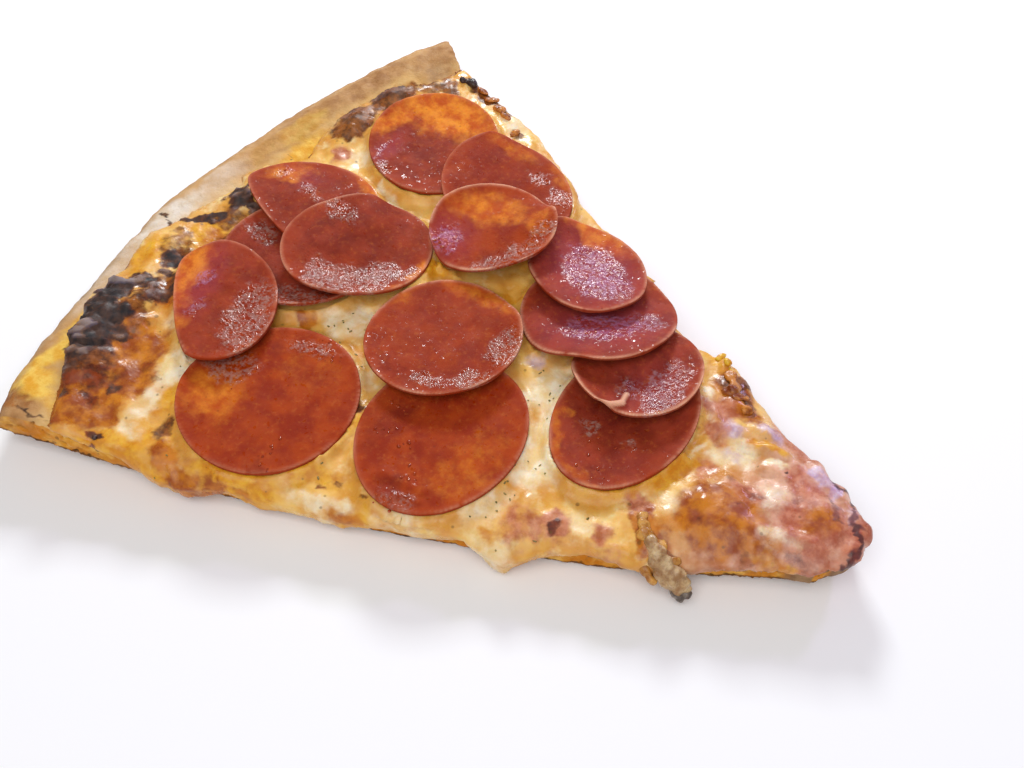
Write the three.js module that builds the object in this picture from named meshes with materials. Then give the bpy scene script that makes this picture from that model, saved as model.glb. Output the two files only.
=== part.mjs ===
// One slice of an eighteen-inch pepperoni pizza, cut in eight. Millimetres, +Z up.
// +X runs along the slice from the crust to the tip, and Z = 0 is the surface it lies on.
// Dough, sauce, cheese and fourteen pepperoni slices are separate closed solids, laid on each other.
import * as THREE from 'three';

// ---- Driving dimensions ----

const layerGap = 0.3; // clear space between two solids that touch
const pizza = { radius: 227, x: 110, y: 5 }; // the whole round pizza
const cuts = { apexX: 129, apexY: 0, farDegrees: 24, nearDegrees: -25.3 }; // both cuts, from where they meet
const nearBow = { depth: 5.6, from: 14, to: 232 }; // the near cut swells outwards along its length

// Where the outer edge and the cuts run outside their plain line, or inside it: place, width, how far out.
const outerWaves = [
  { y: -17, width: 22, out: 2.9 },
  { y: 24, width: 24, out: 1.4 },
  { y: -100, width: 9, out: -1.6 },
  { y: 97, width: 14, out: -3.2 },
];
const nearWaves = [{ x: 99, width: 17, out: -1.8 }];
const farWaves = [
  { x: -72, width: 24, out: -7 },
  { x: -6, width: 12, out: -3.5 },
  { x: 40, width: 18, out: -5.5 },
  { x: 62, width: 7, out: 2.6 },
  { x: 100, width: 13, out: 2.1 },
];
const tip = { radius: 15, shoulder: 6.5 }; // the tip is blunt

// The belly lies flat and the three corners stand up: place, how far the lift reaches, height.
const raisedCorners = [
  { x: -88, y: -100, reach: 84, height: 6.2 },
  { x: -92, y: 93, reach: 84, height: 6.2 },
  { x: 114, y: 0, reach: 84, height: 4 },
];
const dough = { base: 6.9, atTip: 5, tipLength: 70 };
const rim = { height: 10.6, inset: 11, fade: 22, nose: 3.2, tuck: 1.5, tuckReach: 4 };
const sauce = { thickness: 0.9, edge: 0.5, edgeWidth: 5 };
const cheese = { thickness: 3.1, atRim: 1.5, atCuts: 0.6, fade: 8, inset: 2.2, overTip: 1.4 };
const bareRim = 18.5; // width of plain crust outside the toppings

// Where the toppings run out over the rim, and where they stop short: place along the rim, width, reach.
const rimTongues = [
  { y: -62, width: 23, reach: 9.8 },
  { y: -30, width: 13, reach: 7.5 },
];
const rimBays = [
  { y: 27, width: 9, reach: 6 },
  { y: 82, width: 14, reach: 3 },
];

// Bubbles, blisters and hollows of the cheese: centre, half widths, height.
const mounds = [
  { x: -88, y: -62, alongX: 9, alongY: 15, height: 3.4 }, // the burnt blister beside the rim
  { x: -93, y: -4, alongX: 7, alongY: 7, height: 1.6 },
  { x: -88, y: 42, alongX: 6, alongY: 9, height: 1.8 },
  { x: -86, y: 60, alongX: 5, alongY: 9, height: 1.4 },
  { x: -78, y: -38, alongX: 9, alongY: 9, height: 2.6 },
  { x: -60, y: -66, alongX: 9, alongY: 8, height: 1.2 },
  { x: 84, y: -11, alongX: 12, alongY: 10, height: 2.8 }, // the browned bubble near the tip
  { x: 103, y: 2, alongX: 9, alongY: 11, height: 2.6 },
  { x: 92, y: 12, alongX: 9, alongY: 6, height: 2.0 },
  { x: 68, y: 17, alongX: 12, alongY: 7, height: 1.8 },
  { x: 72, y: 2, alongX: 7, alongY: 7, height: -0.8 },
  { x: 35, y: -20, alongX: 8, alongY: 18, height: -0.7 },
  { x: -32, y: -16, alongX: 10, alongY: 7, height: -0.8 },
];

// Melted cheese that has run over a cut: place along X, half width, how far down and how far out.
const nearRuns = [
  { x: -38, width: 9, down: 8.0, out: 4.2 },
  { x: -16, width: 8, down: 4.5, out: 1.6 },
  { x: 2, width: 10, down: 5.5, out: 1.8 },
  { x: 22, width: 8, down: 4.0, out: 1.4 },
  { x: 44, width: 7, down: 9.5, out: 6.0 },
  { x: 77, width: 5, down: 7.0, out: 3.4 },
];
const farRuns = [
  { x: -60, width: 8, down: 3.5, out: 1.6 },
  { x: -42, width: 5, down: 3.0, out: 2.0 },
  { x: 60, width: 9, down: 4.0, out: 2.2 },
];
const leastRun = { down: 0.9, out: 0.7 };
const runForm = { swellAt: 0.45, sag: 0.3, footOut: 0.75, clearOfFloor: 1.4 };

// Pepperoni, from the lowest to the topmost: centre, half length and half width in plan, heading of the
// length in degrees, and how far the edge cups up. Some have one side that stands up in a curl or is
// pressed flat, each with its own heading in degrees.
const slicePepperoni = {
  thickness: 1.7,
  gap: 0.45, // a little over the clear space, for its flat facets
  oval: 0.016,
  lobed: 0.01,
  flattened: 0.35, // what is left of the part past a flat side
  gridCells: 8,
  feetPerCell: 6,
  sink: 0.1,
  stiffness: 0.5,
  sinkingSteps: 260,
  steps: 300,
  fallAway: 0.3, // how steeply the unseen floor drops past a cut
};
const foldedLip = { heading: 258, height: 2.8, spread: 34 };
const pepperoni = [
  { x: 12.0, y: -34, length: 25.8, width: 21.6, heading: 90, cup: 0.5 },
  { x: -32.1, y: -53.1, length: 24.6, width: 24.4, heading: 0, cup: 0.5 },
  { x: 47.5, y: -1.6, length: 24.2, width: 18, heading: 96, cup: 1.4 },
  { x: -62.5, y: -10, length: 23, width: 22.5, heading: 0, cup: 0.7 },
  { x: -60.5, y: 49.3, length: 20.5, width: 22.5, heading: 39, cup: 1.6 },
  { x: -74, y: 5, length: 23, width: 19.5, heading: 12, cup: 0.9, flat: { heading: 248, at: 0.42 } },
  { x: 42, y: 12.5, length: 18, width: 17.2, heading: 60, cup: 0.8, curl: foldedLip },
  { x: 22.2, y: 22.4, length: 22.3, width: 21, heading: 20, cup: 1.0 },
  { x: -29, y: 46, length: 23, width: 19.5, heading: 158, cup: 1.2 },
  { x: 10, y: 33.3, length: 21, width: 15.4, heading: 160, cup: 1.7 },
  { x: -7, y: -10.2, length: 22.2, width: 21.6, heading: 30, cup: 1.5 },
  { x: -48, y: 0, length: 22, width: 20, heading: 60, cup: 1.3 },
  { x: -65.9, y: -39.6, length: 22.3, width: 17.6, heading: 142, cup: 1.0, flat: { heading: 229, at: 0.5 } },
  { x: -19.8, y: 28.4, length: 19.2, width: 17.2, heading: 25, cup: 2.1 },
];

// Rows of the layers: by the rim as shares of the bare width, then as steps inside it, then evenly spaced.
const grid = {
  rimShares: [0, 0.12, 0.35, 0.68, 1],
  edgeSteps: [cheese.inset, 5, 9, 14, 20, 28],
  evenRows: 16,
  columns: 14,
};

// ---- Small functions ----

const radians = THREE.MathUtils.degToRad;
const mix = THREE.MathUtils.lerp;
const clamp = THREE.MathUtils.clamp;
const ease = (value, low, high) => THREE.MathUtils.smoothstep(value, low, high);
const bell = (distance, width) => Math.exp(-((distance / width) ** 2));
const bells = (list, place, amount) =>
  list.reduce((sum, one) => sum + one[amount] * bell(place - (one.x ?? one.y), one.width), 0);

const farAngle = radians(cuts.farDegrees);
const nearAngle = radians(cuts.nearDegrees);
const nearOut = { x: -Math.sin(nearAngle), y: -Math.cos(nearAngle) }; // out of the near cut, in plan
const farOut = { x: Math.sin(farAngle), y: Math.cos(farAngle) };

// Distance from where the cuts meet to the outer edge of the pizza, along an angle.
function outerReach(angle) {
  const dx = cuts.apexX - pizza.x;
  const dy = cuts.apexY - pizza.y;
  const along = -dx * Math.cos(angle) + dy * Math.sin(angle);
  const reach = -along + Math.sqrt(along ** 2 - dx ** 2 - dy ** 2 + pizza.radius ** 2);
  return reach + bells(outerWaves, reach * Math.sin(angle), 'out');
}

function tipReach(angle) {
  return tip.radius + tip.shoulder * (angle / farAngle) ** 2;
}

// A place in plan, from the distance to where the cuts meet and the share of the way to the far cut.
function plan(reach, share) {
  const angle = mix(nearAngle, farAngle, share);
  const x = cuts.apexX - reach * Math.cos(angle);
  const y = cuts.apexY + reach * Math.sin(angle);
  const along = clamp((reach - nearBow.from) / (nearBow.to - nearBow.from), 0, 1);
  const bow = (nearBow.depth * Math.sin(Math.PI * along) + bells(nearWaves, x, 'out')) * (1 - share) ** 2;
  const swell = bells(farWaves, x, 'out') * share ** 2;
  return { x: x + nearOut.x * bow + farOut.x * swell, y: y + nearOut.y * bow + farOut.y * swell };
}

// Clear distance inside each cut, and inside the outer edge, for a place in plan.
function insideNear(x, y) {
  const along = clamp((cuts.apexX - x - nearBow.from) / (nearBow.to - nearBow.from), 0, 1);
  const straight = (y - (cuts.apexX - x) * Math.tan(nearAngle)) * Math.cos(nearAngle);
  return straight + nearBow.depth * Math.sin(Math.PI * along) + bells(nearWaves, x, 'out');
}

function insideFar(x, y) {
  return ((cuts.apexX - x) * Math.tan(farAngle) - y) * Math.cos(farAngle) + bells(farWaves, x, 'out');
}

const insideRim = (x, y) => pizza.radius + bells(outerWaves, y, 'out') - Math.hypot(x - pizza.x, y - pizza.y);

// ---- Heights of the layers ----

const rise = (x, y) =>
  raisedCorners.reduce((sum, corner) => {
    const away = Math.hypot(x - corner.x, y - corner.y) / corner.reach;
    return sum + corner.height * Math.max(0, 1 - away) ** 2;
  }, 0);

function doughUnder(x, y) {
  const near = clamp(1 - insideRim(x, y) / rim.tuckReach, 0, 1);
  return rise(x, y) + rim.tuck * near ** 2;
}

function doughTop(x, y) {
  const inside = insideRim(x, y);
  const fromTip = pizza.radius - inside;
  const base = mix(dough.atTip, dough.base, ease(fromTip, 0, dough.tipLength));
  const roundness = clamp(1 - inside / rim.inset, 0, 1);
  const nose = rim.nose + (rim.height - rim.nose) * Math.sqrt(1 - roundness ** 2);
  const inner = mix(rim.height, base, ease(inside, rim.inset, rim.inset + rim.fade));
  return rise(x, y) + (inside < rim.inset ? nose : inner);
}

const bareWidth = (y) => bareRim - bells(rimTongues, y, 'reach') + bells(rimBays, y, 'reach');

function sauceTop(x, y) {
  const edge = ease(insideRim(x, y) - bareWidth(y), 0, sauce.edgeWidth);
  return doughTop(x, y) + layerGap + mix(sauce.edge, sauce.thickness, edge);
}

function moundHeight(x, y) {
  return mounds.reduce(
    (sum, m) => sum + m.height * Math.exp(-(((x - m.x) / m.alongX) ** 2) - ((y - m.y) / m.alongY) ** 2),
    0,
  );
}

function cheeseTop(x, y) {
  const fromRim = ease(insideRim(x, y) - bareWidth(y) - cheese.inset, -1, cheese.fade);
  const fromCuts = ease(Math.min(insideNear(x, y), insideFar(x, y)), -1, cheese.fade);
  const thickness = mix(cheese.atRim, cheese.thickness, Math.min(fromRim, mix(cheese.atCuts, 1, fromCuts)));
  return sauceTop(x, y) + layerGap + thickness + moundHeight(x, y) * mix(cheese.atCuts, 1, fromCuts);
}

// ---- Solids ----

// A closed slab between two grids of points of the same size, the upper one seen from above.
function slabGeometry(upper, lower) {
  const rows = upper.length;
  const across = upper[0].length;
  const positions = [...upper.flat(), ...lower.flat()].flatMap((p) => [p.x, p.y, p.z]);
  const above = (i, j) => i * across + j;
  const below = (i, j) => rows * across + above(i, j);
  const index = [];
  const quad = (a, b, c, d) => index.push(a, b, c, a, c, d);
  for (let i = 0; i < rows - 1; i++) {
    for (let j = 0; j < across - 1; j++) {
      quad(above(i, j), above(i + 1, j), above(i + 1, j + 1), above(i, j + 1));
      index.push(below(i, j), below(i + 1, j + 1), below(i + 1, j));
      index.push(below(i, j), below(i, j + 1), below(i + 1, j + 1));
    }
  }
  for (let i = 0; i < rows - 1; i++) {
    quad(above(i, 0), below(i, 0), below(i + 1, 0), above(i + 1, 0));
    quad(above(i + 1, across - 1), below(i + 1, across - 1), below(i, across - 1), above(i, across - 1));
  }
  for (let j = 0; j < across - 1; j++) {
    quad(above(0, j + 1), below(0, j + 1), below(0, j), above(0, j));
    quad(above(rows - 1, j), below(rows - 1, j), below(rows - 1, j + 1), above(rows - 1, j + 1));
  }
  const geometry = new THREE.BufferGeometry();
  geometry.setAttribute('position', new THREE.Float32BufferAttribute(positions, 3));
  geometry.setIndex(index);
  geometry.computeVertexNormals();
  return geometry;
}

function namedMesh(name, geometry, look) {
  const mesh = new THREE.Mesh(geometry, new THREE.MeshStandardMaterial({ ...look, metalness: 0 }));
  mesh.name = name;
  return mesh;
}

// Rows of plan places from the outer edge to the tip, one set for all layers, so that they fit each other.
// The rows by the rim follow the edge of the toppings, and the rest are evenly spaced.
function planRows() {
  const insets = (y) => [
    ...grid.rimShares.map((share) => share * bareWidth(y)),
    ...grid.edgeSteps.map((step) => bareWidth(y) + step),
  ];
  const closeRows = grid.rimShares.length + grid.edgeSteps.length;
  const rows = [];
  for (let i = 0; i < closeRows + grid.evenRows; i++) {
    const row = [];
    for (let j = 0; j <= grid.columns; j++) {
      const share = j / grid.columns;
      const angle = mix(nearAngle, farAngle, share);
      const outer = outerReach(angle);
      const steps = insets(outer * Math.sin(angle));
      const onward = (i - closeRows + 1) / grid.evenRows;
      const lastClose = outer - steps[closeRows - 1];
      const reach = i < closeRows ? outer - steps[i] : mix(lastClose, tipReach(angle), onward);
      row.push(plan(reach, share));
    }
    rows.push(row);
  }
  return rows;
}

const withHeight = (places, height) =>
  places.map((row) => row.map(({ x, y }) => new THREE.Vector3(x, y, height(x, y))));
const rows = planRows();
const sauceRows = rows.slice(grid.rimShares.length - 1);
const cheeseRows = rows.slice(grid.rimShares.length);

function doughGeometry() {
  return slabGeometry(withHeight(rows, doughTop), withHeight(rows, doughUnder));
}

function sauceGeometry() {
  const under = (x, y) => doughTop(x, y) + layerGap;
  return slabGeometry(withHeight(sauceRows, sauceTop), withHeight(sauceRows, under));
}

// The cheese lies on the sauce, swells a little past the tip and hangs down both cuts, further in its runs.
function cheeseGeometry() {
  const upper = withHeight(cheeseRows, cheeseTop);
  const lower = withHeight(cheeseRows, (x, y) => sauceTop(x, y) + layerGap);
  const tipEdge = upper[upper.length - 1];
  const tipUnder = lower[lower.length - 1];
  const tipSwell = ({ x, y, z }, j) => new THREE.Vector3(x + cheese.overTip, y, (z + tipUnder[j].z) / 2);
  upper.push(tipEdge.map(tipSwell));
  lower.push(tipUnder.map(({ x, y, z }) => new THREE.Vector3(x + layerGap, y, z)));
  upper.forEach((row, i) => {
    hangOver(row, lower[i], nearOut, nearRuns, true);
    hangOver(row, lower[i], farOut, farRuns, false);
  });
  return slabGeometry(upper, lower);
}

// Adds two columns past a cut: the swollen edge of the cheese and the foot of its run, and their inner sides.
function hangOver(upperRow, lowerRow, out, runs, isNear) {
  const edge = isNear ? upperRow[0] : upperRow[upperRow.length - 1];
  const under = isNear ? lowerRow[0] : lowerRow[lowerRow.length - 1];
  const room = under.z - doughUnder(edge.x, edge.y) - runForm.clearOfFloor;
  const drop = Math.min(leastRun.down + bells(runs, edge.x, 'down'), room);
  const outwards = leastRun.out + bells(runs, edge.x, 'out');
  const past = (offset, z) => new THREE.Vector3(under.x + out.x * offset, under.y + out.y * offset, z);
  const swollen = past(layerGap + outwards, mix(edge.z, under.z, runForm.swellAt) - runForm.sag * drop);
  const foot = past(layerGap + runForm.footOut * outwards, under.z - drop - layerGap);
  const innerTop = past(layerGap, under.z);
  const innerFoot = past(layerGap, under.z - drop);
  if (isNear) {
    upperRow.unshift(foot, swollen);
    lowerRow.unshift(innerFoot, innerTop);
  } else {
    upperRow.push(swollen, foot);
    lowerRow.push(innerTop, innerFoot);
  }
}

// ---- Pepperoni ----

// The uneven outline of a slice, as a share of its radius at an angle.
const unevenness = (one, angle) =>
  1 + slicePepperoni.oval * Math.sin(2 * angle + one.x) + slicePepperoni.lobed * Math.sin(3 * angle + one.y);

// The side pressed flat is drawn in past a chord.
function pressFlat(one, u, v, undo) {
  if (!one.flat) return { u, v };
  const heading = radians(one.flat.heading - one.heading);
  const along = u * Math.cos(heading) + v * Math.sin(heading);
  const over = along - one.flat.at;
  if (over <= 0) return { u, v };
  const share = undo ? 1 / slicePepperoni.flattened : slicePepperoni.flattened;
  const change = (share - 1) * over;
  return { u: u + Math.cos(heading) * change, v: v + Math.sin(heading) * change };
}

// From a place in the unit disc to plan, and back.
function discToPlan(one, u, v) {
  const uneven = unevenness(one, Math.atan2(v, u));
  const pressed = pressFlat(one, u * uneven, v * uneven, false);
  const turn = radians(one.heading);
  const alongLength = pressed.u * one.length;
  const alongWidth = pressed.v * one.width;
  return {
    x: one.x + alongLength * Math.cos(turn) - alongWidth * Math.sin(turn),
    y: one.y + alongLength * Math.sin(turn) + alongWidth * Math.cos(turn),
  };
}

function planToDisc(one, x, y) {
  const turn = radians(one.heading);
  const dx = x - one.x;
  const dy = y - one.y;
  const u = (dx * Math.cos(turn) + dy * Math.sin(turn)) / one.length;
  const v = (-dx * Math.sin(turn) + dy * Math.cos(turn)) / one.width;
  const round = pressFlat(one, u, v, true);
  const uneven = unevenness(one, Math.atan2(round.v, round.u));
  return { u: round.u / uneven, v: round.v / uneven };
}

// A square from -1 to 1 laid over the unit disc, and back, so that the grid has no pole.
const squareToDisc = (a, b) => ({ u: a * Math.sqrt(1 - b ** 2 / 2), v: b * Math.sqrt(1 - a ** 2 / 2) });
function discToSquare(u, v) {
  const root = (sum) => Math.sqrt(Math.max(0, sum)) / 2;
  const lean = u ** 2 - v ** 2;
  const wide = 2 * Math.SQRT2;
  return {
    a: root(2 + lean + wide * u) - root(2 + lean - wide * u),
    b: root(2 - lean + wide * v) - root(2 - lean - wide * v),
  };
}

// Where a place of the grid lies: its cell, and the shares of the three corners of the triangle it falls in.
function corners(a, b) {
  const cells = slicePepperoni.gridCells;
  const along = clamp(((a + 1) / 2) * cells, 0, cells - 1e-6);
  const over = clamp(((b + 1) / 2) * cells, 0, cells - 1e-6);
  const i = Math.floor(along);
  const j = Math.floor(over);
  const s = along - i;
  const t = over - j;
  const side = s >= t ? { i: i + 1, j, share: s - t } : { i, j: j + 1, share: t - s };
  return [{ i, j, share: 1 - Math.max(s, t) }, side, { i: i + 1, j: j + 1, share: Math.min(s, t) }];
}

const heightOver = (heights, found) => found.reduce((sum, { i, j, share }) => sum + share * heights[i][j], 0);

// Height of the top of a laid slice at a place in plan, or nothing outside it.
function laidTop(laid, x, y) {
  const { u, v } = planToDisc(laid.one, x, y);
  if (u ** 2 + v ** 2 > 1) return -Infinity;
  const { a, b } = discToSquare(u, v);
  return heightOver(laid.heights, corners(a, b)) + slicePepperoni.thickness;
}

// Top of the cheese, or of the bare crust past its edge. Past a cut it falls away gently.
function bareTop(x, y) {
  const outside = Math.max(0, -insideNear(x, y), -insideFar(x, y));
  const onCheese = insideRim(x, y) > bareWidth(y) + cheese.inset;
  return (onCheese ? cheeseTop(x, y) : doughTop(x, y)) - slicePepperoni.fallAway * outside;
}

// Lets a slice settle on what lies below it, as a soft sheet that stays a little stiff.
function settle(feet) {
  const cells = slicePepperoni.gridCells;
  const top = Math.max(...feet.map((foot) => foot.floor));
  const heights = Array.from({ length: cells + 1 }, () => new Array(cells + 1).fill(top));
  const smoothed = (i, j) => {
    const around = [];
    if (i > 0 && i < cells) around.push(heights[i - 1][j], heights[i + 1][j]);
    if (j > 0 && j < cells) around.push(heights[i][j - 1], heights[i][j + 1]);
    const mean = around.length ? around.reduce((sum, h) => sum + h, 0) / around.length : heights[i][j];
    return mix(heights[i][j], mean, slicePepperoni.stiffness);
  };
  for (let step = 0; step < slicePepperoni.steps; step++) {
    const left = 1 - step / slicePepperoni.sinkingSteps;
    for (let i = 0; left > 0 && i <= cells; i++) {
      for (let j = 0; j <= cells; j++) heights[i][j] = smoothed(i, j) - slicePepperoni.sink * left;
    }
    for (const { found, floor } of feet) {
      const missing = floor - heightOver(heights, found);
      if (missing <= 0) continue;
      const spread = found.reduce((sum, { share }) => sum + share ** 2, 0);
      for (const { i, j, share } of found) heights[i][j] += (missing * share) / spread;
    }
  }
  return heights;
}

// The cupped edge, and the curled lip where a slice has one.
function edgeLift(one, u, v) {
  const out = Math.hypot(u, v);
  let lift = one.cup * out ** 3;
  if (one.curl) {
    const heading = radians(one.heading + THREE.MathUtils.radToDeg(Math.atan2(v, u)) - one.curl.heading);
    const turned = Math.atan2(Math.sin(heading), Math.cos(heading));
    lift += one.curl.height * out ** 4 * bell(turned, radians(one.curl.spread));
  }
  return lift;
}

function layPepperoni(one, laidSlices) {
  const cells = slicePepperoni.gridCells;
  const fine = cells * slicePepperoni.feetPerCell;
  const onSquare = (step, steps) => (2 * step) / steps - 1;
  const placeOf = (a, b) => {
    const { u, v } = squareToDisc(a, b);
    return { u, v, ...discToPlan(one, u, v) };
  };
  const feet = [];
  for (let i = 0; i <= fine; i++) {
    for (let j = 0; j <= fine; j++) {
      const a = onSquare(i, fine);
      const b = onSquare(j, fine);
      const { x, y } = placeOf(a, b);
      const below = Math.max(bareTop(x, y), ...laidSlices.map((laid) => laidTop(laid, x, y)));
      feet.push({ found: corners(a, b), floor: below + slicePepperoni.gap });
    }
  }
  const settled = settle(feet);
  const places = settled.map((row, i) => row.map((_, j) => placeOf(onSquare(i, cells), onSquare(j, cells))));
  const lifted = (height, { u, v }) => height + edgeLift(one, u, v);
  const heights = settled.map((row, i) => row.map((height, j) => lifted(height, places[i][j])));
  return { one, places, heights };
}

function pepperoniGeometry({ places, heights }) {
  const at = (raise) =>
    places.map((row, i) => row.map(({ x, y }, j) => new THREE.Vector3(x, y, heights[i][j] + raise)));
  return slabGeometry(at(slicePepperoni.thickness), at(0));
}

// ---- The slice ----

const pizzaSlice = new THREE.Group();
pizzaSlice.add(namedMesh('crust', doughGeometry(), { color: 0xd9a860, roughness: 0.8 }));
pizzaSlice.add(namedMesh('tomato_sauce', sauceGeometry(), { color: 0xb5421a, roughness: 0.4 }));
pizzaSlice.add(namedMesh('melted_cheese', cheeseGeometry(), { color: 0xf0cf8c, roughness: 0.4 }));

const laidSlices = [];
for (const one of pepperoni) {
  const laid = layPepperoni(one, laidSlices);
  laidSlices.push(laid);
  const name = `pepperoni_${String(laidSlices.length).padStart(2, '0')}`;
  pizzaSlice.add(namedMesh(name, pepperoniGeometry(laid), { color: 0xa83a22, roughness: 0.35 }));
}

// The origin goes under the middle of the whole slice.
const middle = new THREE.Box3().setFromObject(pizzaSlice).getCenter(new THREE.Vector3());
pizzaSlice.children.forEach((mesh) => mesh.geometry.translate(-middle.x, -middle.y, 0));

export default pizzaSlice;
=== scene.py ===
import math
import random

import bpy
import numpy as np
from mathutils import Matrix, Quaternion, Vector, noise
from mathutils.bvhtree import BVHTree
from mathutils.kdtree import KDTree


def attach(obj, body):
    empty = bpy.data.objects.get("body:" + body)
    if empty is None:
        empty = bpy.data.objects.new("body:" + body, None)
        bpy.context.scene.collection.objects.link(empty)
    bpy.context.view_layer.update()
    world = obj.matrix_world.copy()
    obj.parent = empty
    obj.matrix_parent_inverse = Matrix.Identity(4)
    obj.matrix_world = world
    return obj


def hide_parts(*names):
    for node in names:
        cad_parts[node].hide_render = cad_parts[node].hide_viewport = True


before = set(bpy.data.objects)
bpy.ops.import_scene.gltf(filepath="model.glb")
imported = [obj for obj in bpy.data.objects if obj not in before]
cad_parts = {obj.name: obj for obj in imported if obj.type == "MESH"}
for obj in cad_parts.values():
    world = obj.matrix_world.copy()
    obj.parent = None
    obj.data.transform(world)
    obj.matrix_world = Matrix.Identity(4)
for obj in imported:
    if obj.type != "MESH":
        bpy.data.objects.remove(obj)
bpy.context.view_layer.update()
random.seed(18)

mm = 0.001
lowest = 0.05  # crust and torn bits reach down to this height in millimetres
body = "root"
# places below are millimetres on the plan of the slice, with the crust at -X and the tip at +X
planMiddle = (-1.9055, -3.3134)  # where the frame's origin lies on that plan
nearSide = (0.633, -0.774)  # the way across the slice to the near cut


def colour(code):
    parts = [int(code[i:i + 2], 16) / 255 for i in (1, 3, 5)]
    linear = [c / 12.92 if c <= 0.04045 else ((c + 0.055) / 1.055) ** 2.4 for c in parts]
    return (*linear, 1.0)


def toFrame(x, y, z=0.0):
    return Vector(((x - planMiddle[0]) * mm, (y - planMiddle[1]) * mm, z * mm))


def pickOnly(piece):
    bpy.ops.object.select_all(action="DESELECT")
    piece.select_set(True)
    bpy.context.view_layer.objects.active = piece


def smoothShade(piece):
    pickOnly(piece)
    bpy.ops.object.shade_smooth()


def copyNode(node, name, quads=False):
    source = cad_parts[node]
    piece = bpy.data.objects.new(name, source.data.copy())
    piece.data.materials.clear()
    bpy.context.scene.collection.objects.link(piece)
    pickOnly(piece)
    bpy.ops.object.mode_set(mode="EDIT")
    bpy.ops.mesh.select_all(action="SELECT")
    bpy.ops.mesh.remove_doubles(threshold=0.01 * mm)
    if quads:
        limit = math.radians(70)
        bpy.ops.mesh.tris_convert_to_quads(face_threshold=limit, shape_threshold=limit)
    bpy.ops.object.mode_set(mode="OBJECT")
    return piece


def applyModifier(piece, kind, **settings):
    pickOnly(piece)
    modifier = piece.modifiers.new(kind, kind)
    for key, value in settings.items():
        setattr(modifier, key, value)
    bpy.ops.object.modifier_apply(modifier=modifier.name)


def remesh(piece, voxel, smooth=0):
    applyModifier(piece, "REMESH", mode="VOXEL", voxel_size=voxel * mm)
    if smooth:
        applyModifier(piece, "SMOOTH", factor=0.5, iterations=smooth)


def points(piece, field="co"):
    flat = np.empty(len(piece.data.vertices) * 3, np.float32)
    piece.data.vertices.foreach_get(field, flat)
    return flat.reshape(-1, 3).astype(np.float64)


def setPoints(piece, places):
    piece.data.vertices.foreach_set("co", places.astype(np.float32).ravel())
    piece.data.update()


def nearestOf(places):
    tree = KDTree(len(places))
    for index, place in enumerate(places):
        tree.insert(place, index)
    tree.balance()
    return tree


def surfaceOf(pieces):
    corners, faces = [], []
    for piece in pieces:
        start = len(corners)
        corners += [v.co.copy() for v in piece.data.vertices]
        faces += [[start + i for i in face.vertices] for face in piece.data.polygons]
    return BVHTree.FromPolygons(corners, faces)


def setMask(piece, name, values):
    layer = piece.data.attributes.new(name, "FLOAT", "POINT")
    layer.data.foreach_set("value", np.clip(values, 0, 1).astype(np.float32))


def softNoise(places, size, detail=2, seed=0.0):
    scale = 1 / (size * mm)
    offset = Vector((seed, seed * 1.7, seed * 0.6))
    fade, step = 0.7, 2.1  # from one octave of the noise to the next
    return np.array([noise.fractal(Vector(p) * scale + offset, fade, step, detail) for p in places])


def cellNoise(places, size, squash=1.0):
    # distance to the nearest of scattered cell middles, in cells
    cells = places * (1, 1, squash) / (size * mm)
    return np.array([noise.voronoi(Vector(p))[0][0] for p in cells])


def ease(values, low, high):
    share = np.clip((values - low) / (high - low), 0, 1)
    return share * share * (3 - 2 * share)


def patchMask(places, patches, wander=2.0, size=6.0, seed=0.0, soft=0.35):
    # a patch is x, y, half length, half width, heading and strength
    # a streak is its start, its end, half width and strength
    x = places[:, 0] / mm + planMiddle[0] + softNoise(places, size, 3, seed) * wander
    y = places[:, 1] / mm + planMiddle[1] + softNoise(places, size, 3, seed + 40) * wander
    total = np.zeros(len(places))
    for patch in patches:
        if len(patch) == 4:
            (fromX, fromY), (toX, toY), half, strength = patch
            runX, runY = toX - fromX, toY - fromY
            share = np.clip(((x - fromX) * runX + (y - fromY) * runY) / (runX ** 2 + runY ** 2), 0, 1)
            away = np.hypot(x - fromX - share * runX, y - fromY - share * runY) / half
        else:
            middleX, middleY, along, across, heading, strength = patch
            turn = math.radians(heading)
            dx, dy = x - middleX, y - middleY
            away = np.hypot((dx * math.cos(turn) + dy * math.sin(turn)) / along,
                            (dy * math.cos(turn) - dx * math.sin(turn)) / across)
        total = np.maximum(total, strength * (1 - ease(away, 1 - soft, 1 + soft)))
    return total


def addNode(tree, kind, settings=None, **inputs):
    node = tree.nodes.new(kind)
    for key, value in (settings or {}).items():
        setattr(node, key, value)
    for key, value in inputs.items():
        socket = node.inputs[int(key[1:])] if key[0] == "i" and key[1:].isdigit() else node.inputs[key]
        if isinstance(value, bpy.types.NodeSocket):
            tree.links.new(value, socket)
        else:
            socket.default_value = value
    return node


def mathNode(tree, operation, a, b=0.0, clamp=False):
    settings = {"operation": operation, "use_clamp": clamp}
    return addNode(tree, "ShaderNodeMath", settings, i0=a, i1=b).outputs[0]


def mixColour(tree, factor, a, b):
    a = colour(a) if isinstance(a, str) else a
    b = colour(b) if isinstance(b, str) else b
    return addNode(tree, "ShaderNodeMix", {"data_type": "RGBA"}, i0=factor, i6=a, i7=b).outputs[2]


def ramp(tree, value, low, high, toLow=0.0, toHigh=1.0):
    return addNode(tree, "ShaderNodeMapRange", {"interpolation_type": "SMOOTHSTEP"}, Value=value, i1=low,
                   i2=high, i3=toLow, i4=toHigh).outputs[0]


def mask(tree, name):
    return addNode(tree, "ShaderNodeAttribute", {"attribute_name": name}).outputs["Fac"]


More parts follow.
